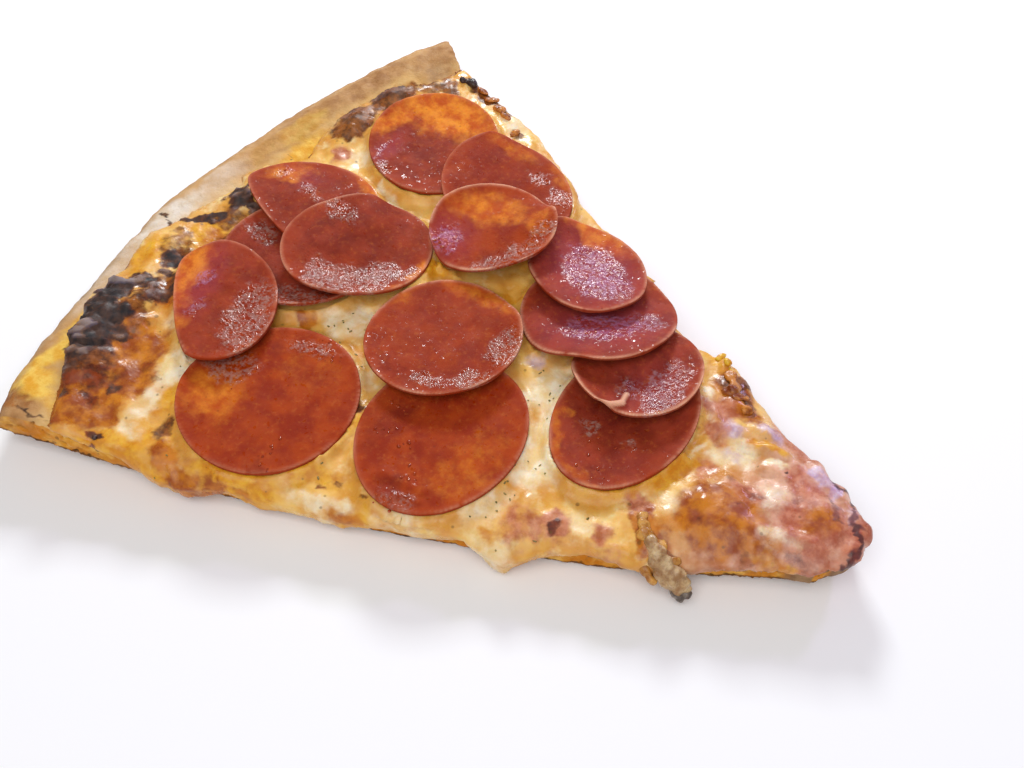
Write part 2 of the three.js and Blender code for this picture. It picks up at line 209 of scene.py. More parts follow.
def makeGroup(name, inputs, build):
    group = bpy.data.node_groups.new(name, "ShaderNodeTree")
    for label, value in inputs.items():
        socket = group.interface.new_socket(label, in_out="INPUT", socket_type="NodeSocketFloat")
        socket.default_value = value
    group.interface.new_socket("Mask", in_out="OUTPUT", socket_type="NodeSocketFloat")
    given = group.nodes.new("NodeGroupInput").outputs
    place = addNode(group, "ShaderNodeTexCoord").outputs["Object"]
    outside = group.nodes.new("NodeGroupOutput")
    group.links.new(build(group, given, place), outside.inputs["Mask"])
    return group


def buildMottle(group, given, place):
    # soft blotches that run from 0 to 1 between two levels
    pattern = addNode(group, "ShaderNodeTexNoise", {"noise_dimensions": "4D"}, Vector=place,
                      W=given["Seed"], Scale=given["Scale"], Detail=given["Detail"], Roughness=0.6)
    return ramp(group, pattern.outputs[0], given["Low"], given["High"])


def buildSpecks(group, given, place):
    # small round spots, each at its own size, 1 in the middle of a spot
    sharpness = 9.0
    cells = addNode(group, "ShaderNodeTexVoronoi", {"voronoi_dimensions": "3D"}, Vector=place,
                    Scale=given["Scale"], Randomness=1.0)
    keep = addNode(group, "ShaderNodeSeparateColor", i0=cells.outputs["Color"])
    size = mathNode(group, "MULTIPLY", keep.outputs[0], given["Size"])
    away = mathNode(group, "SUBTRACT", size, cells.outputs["Distance"])
    sharp = mathNode(group, "MULTIPLY", away, sharpness, clamp=True)
    shown = mathNode(group, "LESS_THAN", keep.outputs[1], given["Share"])
    return mathNode(group, "MULTIPLY", sharp, shown)


def buildPebbles(group, given, place):
    # close-set rounded grains, 1 at the top of a grain
    cells = addNode(group, "ShaderNodeTexVoronoi", {"feature": "SMOOTH_F1"}, Vector=place,
                    Scale=given["Scale"], Smoothness=0.6, Randomness=1.0)
    return mathNode(group, "SUBTRACT", 1.0, cells.outputs["Distance"], clamp=True)


mottleGroup = makeGroup("foodMottle", {"Scale": 200.0, "Detail": 3.0, "Low": 0.4, "High": 0.6,
                                       "Seed": 0.0}, buildMottle)
specksGroup = makeGroup("foodSpecks", {"Scale": 300.0, "Size": 0.5, "Share": 0.3}, buildSpecks)
pebblesGroup = makeGroup("foodPebbles", {"Scale": 900.0}, buildPebbles)


def patternMask(tree, group, size, **inputs):
    node = addNode(tree, "ShaderNodeGroup", {"node_tree": group}, Scale=1 / (size * mm), **inputs)
    return node.outputs["Mask"]


def mottle(tree, size, low=0.35, high=0.65, detail=3.0, seed=0.0):
    return patternMask(tree, mottleGroup, size, Low=low, High=high, Detail=detail, Seed=seed)


def specks(tree, size, share=0.3, spot=0.5):
    return patternMask(tree, specksGroup, size, Share=share, Size=spot)


def pebbles(tree, size):
    return patternMask(tree, pebblesGroup, size)


def scaled(tree, value, amount):
    return mathNode(tree, "MULTIPLY", value, amount)


def twoTone(tree, size, tones, seed=0.0, detail=4.0):
    return mixColour(tree, mottle(tree, size, 0.35, 0.65, detail, seed), *tones)


def laid(tree, shade, where, coat, amount=1.0):
    # a coat laid over a shade where a mask says, at a share of its strength
    where = where if amount == 1.0 else scaled(tree, where, amount)
    return mixColour(tree, where, shade, coat)


def wavered(tree, value, size, amount, detail=3.0, seed=0.0):
    return mathNode(tree, "ADD", value, scaled(tree, mottle(tree, size, 0.3, 0.7, detail, seed), amount))


def ragged(tree, value, low, high, size=2.2, seed=4.0, amount=0.4):
    # a painted mask with its edge broken up; nothing shows where the mask is 0
    return ramp(tree, wavered(tree, value, size, amount, 4, seed), low, high)


def newMaterial(name, **fixed):
    material = bpy.data.materials.new(name)
    material.use_nodes = True
    tree = material.node_tree
    shader = tree.nodes["Principled BSDF"]
    for label, value in fixed.items():
        shader.inputs[label.replace("_", " ")].default_value = value
    return material, tree, shader


def finish(tree, shader, shade, roughness, layers):
    # layers are (height mask, depth in millimetres), laid on each other
    normal = None
    for height, depth in layers:
        bump = addNode(tree, "ShaderNodeBump", Height=height, Strength=1.0, Distance=depth * mm)
        if normal is not None:
            tree.links.new(normal, bump.inputs["Normal"])
        normal = bump.outputs[0]
    tree.links.new(shade, shader.inputs["Base Color"])
    tree.links.new(roughness, shader.inputs["Roughness"])
    tree.links.new(normal, shader.inputs["Normal"])


# marks of baking that lie on cheese and crust alike
bakeMarks = {
    "char": [
        (-92, -54, 5, 6.5, 0, 1), (-90.5, -61, 5.5, 5.5, 0, 1), (-86, -66, 8, 5.5, -38, 1),
        (-84, -72, 5, 5.4, 30, 1), (-87, -71, 3.6, 5, 0, 1), (-80, -64, 4, 4, 0, 0.8),
        (-82, -46, 7, 2.6, 60, 0.65), (-89.5, -46, 5, 3, 10, 0.8), (-84, -59, 3, 4, 0, 0.9),
        (-91, -35, 3, 3.6, 0, 0.75), (-87, -39.5, 3, 2.2, 0, 0.65), (-94, -4, 4.2, 4.6, 0, 0.9),
        (-88, -4, 3, 2.4, 0, 0.7), (-87.5, 60, 2, 7, -8, 0.55), (-70, 80.5, 3.4, 2.6, 0, 0.75),
        (-66.5, -76.5, 2.4, 1.6, 20, 0.55), (-80.5, -79, 1.8, 4, 15, 0.5), (-76, -86.5, 3, 1.4, 20, 0.5),
        (-59.5, -90, 1.3, 1.3, 0, 0.6), ((-112, -21), (-105, -23), 1.0, 0.8),
        ((-105, -23), (-99, -19.5), 1.0, 0.8), ((-99, -19.5), (-93, -12), 1.2, 0.8),
        (-78, -95.8, 4.6, 0.8, 16, 0.75), (-98, 21, 1.2, 0.9, 0, 0.7), (89, 9.6, 0.7, 0.7, 0, 1)],
    "brown": [
        ((70, -26), (79, -29), 1.4, 0.55), (-79, -72, 5, 4, 0, 0.95), (-82, -76, 4, 6, 0, 0.7),
        (-84, -53, 3.4, 7, 10, 0.8), (-79, -57, 3, 4, -20, 0.6), (-90, -12, 5, 4.5, 0, 0.75),
        (-97, -25, 4, 2, 30, 0.6), (-89, 42, 5.6, 8.5, 0, 1), (-86, 60, 5.5, 10.5, 0, 1),
        (-80, 70, 5, 4, -30, 0.8), (-93, -30, 6, 5, 0, 0.6), (-84, -42, 5, 4, 0, 0.7),
        (-75, 74, 6, 3.5, -28, 0.85), (-63, 79.5, 5.5, 3.4, -10, 0.9), (-54, 77, 4, 2, -20, 0.7),
        (-44, 71, 3, 1.8, 0, 0.7), (-47.7, -76.7, 2.6, 4.6, 10, 0.75), (-3, -64, 1.4, 1, 0, 0.8),
        (0, -61, 1.2, 1, 0, 0.7), (8, -61, 1.6, 1, 0, 0.7), (-20, -71, 1.6, 2.4, 0, 0.6),
        (-14, -68, 1.2, 1.4, 0, 0.6), (64, 26, 4, 4, 20, 0.9), (69, 23.4, 3, 2, 0, 0.85),
        (73, 20, 1.8, 2, 0, 0.7), (94.4, -17, 2.6, 2, 0, 0.45), (-89, -96, 9, 3, 20, 0.6),
        (-62, -68, 1.6, 1.6, 0, 0.5)],
}


crustSettings = {
    "voxel": 0.81, "smooth": 7, "rimBumps": 0.5, "bumpSize": 9, "fine": 0.1, "fineSize": 3.2,
    "crumb": 0.35, "cutPits": 1.3, "pitSize": 3.4, "pitSquash": 1.7, "pitGroups": 6, "smallPits": 0.45,
    "smallPitSize": 1.9, "bearingStep": 1.0, "heightSpan": 16, "insetSpan": 24, "wander": 1.8,
    "wanderSize": 5, "roughness": (0.55, 0.8), "grainDepth": 0.16, "fineGrainDepth": 0.06,
    "colours": {
        "skin": ("#B98854", "#CFA06A"), "paleSkin": "#E6C698", "darkSkin": "#B07A44",
        "floury": ("#D6BC9C", "#E8DACA"), "golden": ("#E2A230", "#F2C860"),
        "innerSkin": ("#E2B262", "#F0CC88"), "outerShadedSkin": ("#85664C", "#AE8E6C"),
        "lowSkin": ("#7A5438", "#A07C58"), "bread": ("#F4C264", "#DC982E"), "darkBread": "#CC7608",
        "pits": "#B27A34", "breadSpecks": "#8A5A2A", "base": ("#5E3A1E", "#2A1C12"),
        "toasted": ("#926036", "#BA8C5C"), "brown": ("#7A4018", "#B57032"),
        "char": ("#33241C", "#6A4A34"), "sole": ("#B98248", "#8A5424"), "soleSpots": "#3A2816",
        "soleFlour": "#E4CBA6"}}
rimCircle = {"x": 110, "y": 5}
crustPatches = {
    "golden": [
        (-84, -90, 5, 3, 18, 1), (-104, 33, 4.5, 10, -4, 1), (-107, 18, 3, 7, 0, 0.4),
        (-94, 26, 6.5, 11, 0, 1), (-90, -88, 9, 5, 18, 1), (-91, -80, 3.4, 12, -12, 1),
        (-95, -62, 2.6, 14, 8, 0.8), (-98, -38, 3, 8, 0, 0.8), (-97, 8, 3, 8, 0, 0.5),
        (-70, -88, 12, 3, 15, 0.6)],
    "toasted": [
        (-90, -99, 14, 4.5, 22, 1), (-88, 81, 8, 7, 0, 0.9), (-100, 62, 5, 16, -12, 0.9),
        (-105, 30, 5, 24, -4, 0.7), (-90, 92, 12, 8, 0, 1)],
    "floury": [
        (-107, -22, 7, 16, 4, 0.95), (-101, -50, 4, 14, 8, 0.5), (-101, -5, 5, 11, 0, 0.6),
        (-81, 77, 6, 4, -20, 0.7), (-107, -46, 5, 16, 10, 0.6), (-108, 0, 5, 12, 0, 0.5)],
}


def rimWay(places):
    # the level way from the middle of the rim's circle to each place, and how far that is in millimetres
    fromMiddle = places[:, :2] - np.array(toFrame(rimCircle["x"], rimCircle["y"])[:2])
    reach = np.linalg.norm(fromMiddle, axis=1)
    return fromMiddle / reach[:, None], reach / mm


def makeCrust():
    sizes = crustSettings
    piece = copyNode("crust", "bakedCrust")
    remesh(piece, sizes["voxel"], sizes["smooth"])
    places, facing = points(piece), points(piece, "normal")
    outward, reach = rimWay(places)
    flatFacing = facing[:, :2] / np.maximum(np.linalg.norm(facing[:, :2], axis=1), 1e-9)[:, None]
    towardsRim = (outward * flatFacing).sum(1)
    cut = ease(1 - np.abs(facing[:, 2]), 0.3, 0.7) * (1 - ease(towardsRim, 0.45, 0.8))
    under = ease(-facing[:, 2], 0.3, 0.8)
    # how far inside the outer edge each place lies, and how far above the sole
    turned = np.degrees(np.arctan2(outward[:, 1], outward[:, 0])) % 360
    bearing = (turned / sizes["bearingStep"]).astype(int)
    farthest = np.zeros(int(360 / sizes["bearingStep"]) + 1)
    np.maximum.at(farthest, bearing, reach)
    inset = farthest[bearing] - reach
    soles = places[under > 0.5]
    nearestSole = nearestOf(soles * (1, 1, 0))
    above = places[:, 2] - np.array([soles[nearestSole.find((p[0], p[1], 0))[1], 2] for p in places])
    coarse = softNoise(places, sizes["bumpSize"], 3)
    fine = softNoise(places, sizes["fineSize"], 3, 5)
    pits = ease(0.42 - cellNoise(places, sizes["pitSize"], sizes["pitSquash"]), 0, 0.3)
    pits *= ease(softNoise(places, sizes["pitGroups"], 2, 9), -0.3, 0.4)
    smallPits = ease(0.38 - cellNoise(places, sizes["smallPitSize"], sizes["pitSquash"]), 0, 0.3)
    pits += sizes["smallPits"] * smallPits
    crumb = sizes["crumb"] * fine - pits * sizes["cutPits"]
    skin = coarse * sizes["rimBumps"] + fine * sizes["fine"]
    move = cut * crumb + (1 - cut) * (1 - under) * skin + under * (fine * 0.15 - 0.1)
    places += facing * move[:, None] * mm
    places[:, 2] = np.maximum(places[:, 2], lowest * mm)
    setPoints(piece, places)
    ownMasks = {"crumb": cut, "pit": cut * pits * 1.2, "under": under,
                "height": above / (sizes["heightSpan"] * mm), "inset": inset / sizes["insetSpan"]}
    for name, values in ownMasks.items():
        setMask(piece, name, values)
    for number, (name, patches) in enumerate({**bakeMarks, **crustPatches}.items()):
        setMask(piece, name, patchMask(places, patches, sizes["wander"], sizes["wanderSize"], 3 + number))
    piece.data.materials.append(crustMaterial())
    smoothShade(piece)
    return piece


def crustMaterial():
    material, tree, shader = newMaterial("bakedDough", Specular_IOR_Level=0.15, Subsurface_Weight=0.1,
                                         Subsurface_Radius=(1.0, 0.6, 0.3), Subsurface_Scale=0.0012)
    tones = crustSettings["colours"]
    skin = twoTone(tree, 16, tones["skin"])
    skin = laid(tree, skin, mottle(tree, 5, 0.5, 0.75, 5, 2.0), tones["paleSkin"], 0.35)
    skin = laid(tree, skin, mottle(tree, 3, 0.55, 0.8, 5, 12.0), tones["darkSkin"], 0.4)
    skin = laid(tree, skin, mask(tree, "floury"), twoTone(tree, 6, tones["floury"], 4.0))
    edge = wavered(tree, mask(tree, "inset"), 8, 0.1, 3, 15.0)
    inner, outer = ramp(tree, edge, 0.5, 0.75), ramp(tree, edge, 0.06, 0.3, 1.0, 0.0)
    skin = laid(tree, skin, inner, twoTone(tree, 5, tones["innerSkin"], 16.0), 0.5)
    skin = laid(tree, skin, mask(tree, "golden"), twoTone(tree, 4, tones["golden"], 5.0))
    # the outer band is darker: partly browned skin, partly painted shade on the wall turned from the
    # light
    skin = laid(tree, skin, outer, twoTone(tree, 5, tones["outerShadedSkin"], 7.0), 0.75)
    low = ramp(tree, mask(tree, "height"), 0.1, 0.4, 1.0, 0.0)
    skin = laid(tree, skin, low, twoTone(tree, 5, tones["lowSkin"], 7.0), 0.6)
    bread = twoTone(tree, 3.5, tones["bread"], 1.0)
    bread = laid(tree, bread, mottle(tree, 9, 0.35, 0.55, 3, 14.0), tones["darkBread"], 0.85)
    # painted shade: the pits carved in the crumb are coloured darker
    bread = laid(tree, bread, ramp(tree, mask(tree, "pit"), 0.15, 0.9), tones["pits"])
    bread = laid(tree, bread, specks(tree, 2.2, 0.35, 0.4), tones["breadSpecks"], 0.7)
    base = ramp(tree, wavered(tree, mask(tree, "height"), 2.5, 0.05, 3, 8.0), 0.07, 0.13, 1.0, 0.0)
    bread = laid(tree, bread, base, twoTone(tree, 3, tones["base"], 9.0), 0.9)
    shade = laid(tree, skin, ramp(tree, mask(tree, "crumb"), 0.2, 0.7), bread)
    shade = laid(tree, shade, mask(tree, "toasted"), twoTone(tree, 4, tones["toasted"], 6.0), 0.75)
    browned = ragged(tree, mask(tree, "brown"), 0.5, 1.1)
    shade = laid(tree, shade, browned, twoTone(tree, 3, tones["brown"], 10.0))
    charred = ragged(tree, mask(tree, "char"), 0.45, 1.1)
    shade = laid(tree, shade, charred, twoTone(tree, 2, tones["char"], 11.0))
    sole = twoTone(tree, 9, tones["sole"], 3.0)
    sole = laid(tree, sole, mottle(tree, 5, 0.56, 0.66, 5, 11.0), tones["soleSpots"])
    sole = laid(tree, sole, mottle(tree, 3, 0.5, 0.75, 5, 12.0), tones["soleFlour"], 0.5)
    shade = laid(tree, shade, ramp(tree, mask(tree, "under"), 0.3, 0.8), sole)
    roughness = ramp(tree, mottle(tree, 4, 0.3, 0.7, 3, 7.0), 0, 1, *crustSettings["roughness"])
    finish(tree, shader, shade, roughness,
           [(mottle(tree, 1.8, 0.2, 0.8, 4, 4.0), crustSettings["grainDepth"]),
            (mottle(tree, 0.6, 0.2, 0.8, 3), crustSettings["fineGrainDepth"])])
    return material


sauceSettings = {"voxel": 0.62, "keep": 0.4, "wave": 1.1, "waveSize": 4, "roughness": (0.25, 0.5),
                 "colours": {"sauce": ("#8A3A0C", "#B06A1C"), "specks": "#5E1E08"}}


def makeSauce():
    piece = copyNode("tomato_sauce", "tomatoSauce")
    remesh(piece, sauceSettings["voxel"])
    applyModifier(piece, "DECIMATE", decimate_type="COLLAPSE", ratio=sauceSettings["keep"])
    places, facing = points(piece), points(piece, "normal")
    side = ease(1 - np.abs(facing[:, 2]), 0.3, 0.8)
    move = side * softNoise(places, sauceSettings["waveSize"], 3, 2) * sauceSettings["wave"]
    places += facing * move[:, None] * mm
    setPoints(piece, places)
    material, tree, shader = newMaterial("cookedTomatoSauce", Specular_IOR_Level=0.4)
    shade = twoTone(tree, 3, sauceSettings["colours"]["sauce"])
    shade = laid(tree, shade, specks(tree, 2.2, 0.3, 0.5), sauceSettings["colours"]["specks"])
    roughness = ramp(tree, mottle(tree, 2, 0.3, 0.7, 3), 0, 1, *sauceSettings["roughness"])
    finish(tree, shader, shade, roughness, [(mottle(tree, 1.5, 0.2, 0.8, 3), 0.2)])
    piece.data.materials.append(material)
    smoothShade(piece)
    return piece


cheeseSettings = {
    "voxel": 0.76, "smooth": 12, "lumps": 0.5, "lumpSize": 11, "midLumps": 0.1, "midSize": 4.5,
    "fineLumps": 0.05, "fineSize": 2.6, "strands": 0.66, "strandSize": 5, "tough": 0.3, "toughSize": 9.0,
    "blister": 1.7, "foldSize": 5.0, "smallFoldSize": 2.6, "crinkleSize": 1.5, "crisp": 0.4,
    "crispSize": 3.2, "climb": 0.45, "climbReach": 1.6, "climbLimit": 2.6, "meet": 0.9, "overhang": 4,
    "startBelow": 2, "greaseReach": 3.0, "overRim": 1.0, "overRimSize": 6, "tipStart": 68, "tipFull": 92,
    "wander": 2.0, "wanderSize": 5, "roughness": (0.26, 0.5), "charDulls": 0.26,
    "colours": {
        "cream": ("#F4C66C", "#DC9A36"), "tan": "#D88E48", "paleCream": "#FAE4AC",
        "grease": ("#C47A14", "#E0A23C"), "tip": ("#B4684E", "#E6B4A0"), "singed": ("#44200E", "#7A3E16"),
        "soot": ("#1E1618", "#4A2E22"), "ridgeSheen": ("#5C5060", "#8A603E"), "ridgeHighlight": "#A8968E",
        "specks": "#6A4A1C"}}
# raised places on the cheese: the last number is the height in millimetres
cheeseRelief = [
    (83, -13, 9.5, 7.5, -15, 2.4), ((78, -1), (90, -5), 1.8, 1.3), (92, -1, 4.5, 6, 0, 1.3),
    ((93, -10), (105, -5.5), 2.4, 1.5), (104, 2, 5, 6, 0, 1.0), ((94, 16), (103, 11), 1.6, 1.2),
    ((103, 13), (113, 4), 1.8, 1.3), ((113, 4), (114, -6), 1.8, 1.2), (79, 17.6, 4, 2.4, 0, 1.5),
    (73, 13, 4, 2, 20, 1.0), ((76, 11), (87, 14), 1.3, 1.3), ((84, 8), (90, 7.5), 1.2, 0.9),
    (64, 26, 4, 4, 0, 1.3), (68, 22, 3, 3, 0, 1), ((59, 29), (56, 35), 1.2, 1.2),
    (-89, 42, 5, 8, 0, 1.6), (-86, 60, 4, 9, 0, 1.6), (-84, -53, 2.6, 6, 10, 1.7),
    (-79, -57, 2.4, 4, -20, 1.3), (-93, -4, 4, 4.5, 0, 1.3), (-60, -63, 5, 7, 0, 1.0),
    (-45, -83, 5, 4, 0, 0.9), (51, -38, 4, 3, 0, 1.0), (61, -32, 3, 3, 0, 0.9), (66, -25, 5, 3, 20, 0.7),
    ((57, -36), (74, -32), 1.5, 0.8), (33, -62, 6, 3, 18, 0.8), (-30, -79, 6, 3, 18, 0.7),
    (-68, 30, 5, 3, 20, 0.6), (-48, 74, 4, 2.5, -20, 0.8), ((38, -12), (44, -50), 2.4, 0.8),
    ((-9, -40), (-8, -62), 2, 0.7), (25, -3, 4, 5, 0, 0.7), (72, -20, 4, 5, 0, 0.7),
    ((59, 21), (69, 9), 1.3, 0.9), ((69, 9), (66, -7), 1.4, 0.7), ((66, -24), (76, -30), 1.8, 1.0),
    (-77, -74, 5, 5, 0, 0.6), (-69, -86, 5, 3, 15, 0.7), ((-70, -70), (-60, -80), 2, 0.6),
    ((86, -18), (98, -14), 2, 0.7)]
cheesePatches = {
    # pale: cream strands and spots, and in part painted highlights on bulges
    "pale": [
        (110, 1, 3, 4, 0, 0.6), (77, 8, 5, 3.6, 0, 0.9), (33, -10, 5, 12, 0, 0.9),
        (30, -24, 6, 8, 0, 0.9), (-30, -14, 8, 4, 20, 0.8), (18, -60, 8, 3, 18, 0.7),
        (-59, -62, 5, 7.5, 0, 1), (-57, -74, 4, 6, 0, 0.7), (-54, -84, 6, 3, 18, 0.6),
        (-33, -83, 6, 2.2, 18, 0.7), (-35, -21, 7, 5, 0, 0.9), (-16, -32, 5, 4, 0, 0.5),
        (-2, -68, 7, 2.4, 18, 0.8), (5, -65, 5, 2.2, 18, 0.8), (25, -5, 6.5, 10, 0, 0.9),
        (38, -26, 6, 9, 0, 0.9), (34, -44, 6, 7, 0, 0.8), (42, -52, 6, 3.4, 15, 0.7),
        (56, -33, 6, 3, 10, 0.6), (74, 5, 4, 2.6, 0, 0.9), ((84, 10), (89.5, 10.4), 1.0, 1),
        (91.5, 0, 4, 6, -10, 0.55), ((94, -10), (103, -6), 2, 0.8), (-48, 74.5, 6.5, 4, -20, 1),
        (-78, 32, 7, 4.4, 0, 0.6), ((-63, 26), (-54, 22.5), 1.8, 0.8), (20, -63, 12, 3, 18, 0.6),
        (-92, -44, 3, 4, 0, 0.4), (70, -15, 4, 5, 0, 0.6), ((59, 21), (69, 9), 1.2, 0.9),
        ((69, 9), (66, -4), 1.1, 0.7), (-72, -50, 3, 4, 0, 0.6)],
    # painted reflection: lilac where the cool back light is seen mirrored on the cheese
    "lilacReflection": [
        ((95, 14.6), (102, 10), 1.8, 0.9), ((108, 9), (111, 2), 1.2, 0.6), (104, 8, 3, 2, -30, 0.5),
        (91, 2, 3, 3, 0, 0.4), (17, 1, 3, 2.6, 0, 0.8), (80, 17.6, 4.4, 2.2, 0, 1),
        (71, 13, 3.4, 3, 0, 0.9), (75, 6, 4, 2.4, 0, 0.6), (98, 11, 3, 3, 0, 0.4), (60, 9, 3, 3, 0, 0.4),
        (100, -8, 4, 2, 20, 0.4)],
    "pink": [
        (100, -3, 6, 4.6, 0, 1), (69, 10, 4, 4, 0, 0.7), (51, -38, 4.5, 3.6, 0, 1),
        (45, -42, 8, 6, 15, 0.6), (65, -20, 3.4, 2.6, 0, 0.9), (66, 16, 6, 5, 0, 0.9),
        (62, -32, 2.6, 2.6, 0, 0.9), (-83, 30, 3.4, 3.2, 0, 0.9), (103, -2, 10, 9, 0, 0.8),
        (95, 8, 7, 4, -20, 0.8), (73, -2, 5, 5, 0, 0.6), (84, -3, 7, 3, -10, 0.8),
        (66, -36, 5, 2.5, 15, 0.5), (26, -60, 10, 5, 20, 0.3), (-34, -81, 6, 2.6, 18, 0.5),
        (84, 20, 8, 3, -20, 0.6), (-87, 52, 4, 3, 0, 0.5), (112, 2, 4, 7, 0, 0.8),
        (8, -66, 4, 2, 18, 0.5)],
    "gold": [
        (44, -62, 7, 4, 15, 0.8), (12, -66, 5, 3, 15, 1), (46, -57, 5, 3, 15, 0.8),
        (-53, -70, 3, 6, 0, 0.7), (-24, -78, 9, 5, 18, 1), (10, -68, 6, 3, 18, 1),
        (-54, -90, 10, 4, 18, 1), (30, -62, 8, 3, 18, 0.8), (-36, -86, 6, 3, 18, 1),
        (-20, -75, 9, 4, 18, 1), (-10, -64, 4, 5, 0, 1), (-30, -80, 8, 3, 18, 0.7),
        (-92, -19, 5.5, 5, 30, 1), (-98, -37, 4.5, 7, 0, 0.95), (-95, -44, 3, 3, 0, 0.7),
        (-28, 10, 5, 3, 0, 0.9), (-3, 14.5, 5, 2, 10, 0.8), ((68, -1), (66, -12), 1.8, 0.9),
        ((66, -12), (54, -24), 1.6, 0.6), (39, -49, 2, 1.3, 0, 0.8), ((77, 11.4), (87, 14.2), 1.3, 1),
        (58, 32, 5, 2.6, 0, 1), (54, 32, 4, 2, 0, 0.7), (-60, 36, 4, 3, 0, 0.4),
        (-46, -80, 6, 4, 18, 0.6), (-4, -62, 10, 3, 18, 0.7), (14, -62, 8, 2, 18, 0.5),
        (-55, -88, 8, 3, 18, 0.9), (-68, -89, 6, 2.6, 15, 1), (-22, -24, 9, 5, 20, 0.4),
        (-8, -45, 2, 8, 0, 0.6), (40, -45, 4, 6, 0, 0.4), (-83, -62, 4, 4, 0, 0.6),
        (100, -14, 8, 2, 14, 0.6), (-70, -58, 4, 5, 0, 0.7)],
    "amber": [
        ((68, -22), (78, -28), 2.4, 0.7), (8, -68, 5, 2.6, 15, 0.8), (-34, -84, 5, 2.6, 15, 0.9),
        (30, -61, 4, 2, 15, 0.6), (-20, -79, 4, 2, 15, 0.7), (-74, -91, 12, 4, 18, 1),
        (-73, -66, 9, 11, 0, 1), (-86, -78, 5, 10, 10, 1), (-64, -72, 4, 8, 0, 0.7),
        (-82, -62, 4, 6, 0, 0.8), (-77, -66, 7, 11, 0, 1), ((66, -24), (72, -30), 1.6, 0.8),
        (88, -18, 7, 3, 14, 0.6), (-68, -76, 7, 9, 0, 1), (-75, -84, 9, 5, 15, 1),
        (-63, -85, 5, 4, 18, 0.9), (-41.6, -82, 4, 4, 0, 0.9), (-80, -45, 6, 6, 0, 0.8),
        (-70, -50, 3, 6, 0, 0.5), (-88, -20, 5, 4, 0, 0.6), (83, -13, 10.5, 8, -15, 1),
        (64, 25, 6, 5, 0, 0.9), (72, 20, 4, 3, 0, 0.8), (95, -13, 6, 4, 20, 0.6), (103, 0, 4, 6, 0, 0.7),
        (-44, -27, 4, 2.4, -20, 0.9), (-26, -80, 5, 1.6, 18, 0.7), (74, -24, 4, 4, 0, 0.6)],
    "sauce": [
        (-81, -71, 4, 4, 0, 1), (-84, -84, 3, 10, -15, 1), (-60, -90, 1.6, 1.6, 0, 1),
        (-84, -77, 3.4, 8, -15, 1), (-76, -78, 6, 5, 0, 0.75), (-80, -84, 6, 3.6, 15, 0.9),
        (-70, -73, 3, 4, 0, 0.5), (-69, -83, 4, 2.4, 0, 0.6), (-12, -40, 2.4, 2.4, 0, 0.8),
        (-87, -20, 3, 4, 0, 0.5), (-66, -66, 3, 5, 0, 0.4), (-90, -30, 4, 3, 0, 0.6),
        (51.5, -38, 1.6, 2, 0, 0.8), (79, -16, 1.6, 1.4, 0, 0.5), (85, -8, 1.4, 1.2, 0, 0.6)],
    "plum": [
        ((97, 15.9), (106.2, 12), 0.7, 0.8), ((106.2, 12), (112.9, 3.7), 0.7, 0.9),
        ((112.9, 3.7), (114, -4), 0.7, 0.9), ((114, -4), (111.4, -8.6), 0.5, 0.7),
        ((102, 9.5), (107, 4), 1.2, 0.5), (104.5, -10.7, 5, 2, 10, 0.45),
        ((79, -0.5), (88, -2.5), 1.5, 0.4), (-84.5, -81, 2, 6, 0, 0.5), (-91, 46, 3, 4, 0, 0.8),
        (96, 4, 3, 2.4, 0, 0.4)],
}
# each patch's mask, its share, where its edge starts and ends, how large it is broken up, and its colours
cheeseCoats = [
    # pale is partly a painted highlight, and lilac a painted reflection
    ("pale", 0.9, 0.3, 1.1, 4.5, ("#EECF94", "#FBEFD4")),
    ("lilacReflection", 0.8, 0.35, 1.2, 3, ("#B090B8", "#E0CEE4")),
    ("pink", 0.88, 0.3, 0.95, 3, ("#A84C30", "#D08466")),
    ("gold", 0.92, 0.3, 0.95, 4, ("#D08208", "#EAAE2C")),
    ("amber", 0.95, 0.3, 0.85, 4.5, ("#963F08", "#CC7A14")),
    ("sauce", 0.95, 0.35, 0.85, 3, ("#481404", "#8A3406")),
    ("plum", 0.9, 0.35, 0.9, 3, ("#3E2024", "#74383A")),
    ("brown", 0.95, 0.4, 1.0, 2.2, ("#562608", "#965216")),
]


def pepperoniAround():
    # all the pepperoni as one tree, and the places along their lower edges
    nodes = [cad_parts[name] for name in sorted(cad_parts) if name.startswith("pepperoni")]
    edgePlaces = []
    for node in nodes:
        for face in node.data.polygons:
            if abs(face.normal.z) < 0.2:
                ring = [node.data.vertices[i].co for i in face.vertices]
                low = min(p.z for p in ring)
                for a, b in zip(ring, ring[1:] + ring[:1]):
                    spots = [a.lerp(b, step / 5) for step in range(5)]
                    edgePlaces += [spot for spot in spots if spot.z < low + 1.0 * mm]
    return surfaceOf(nodes), nearestOf(edgePlaces)


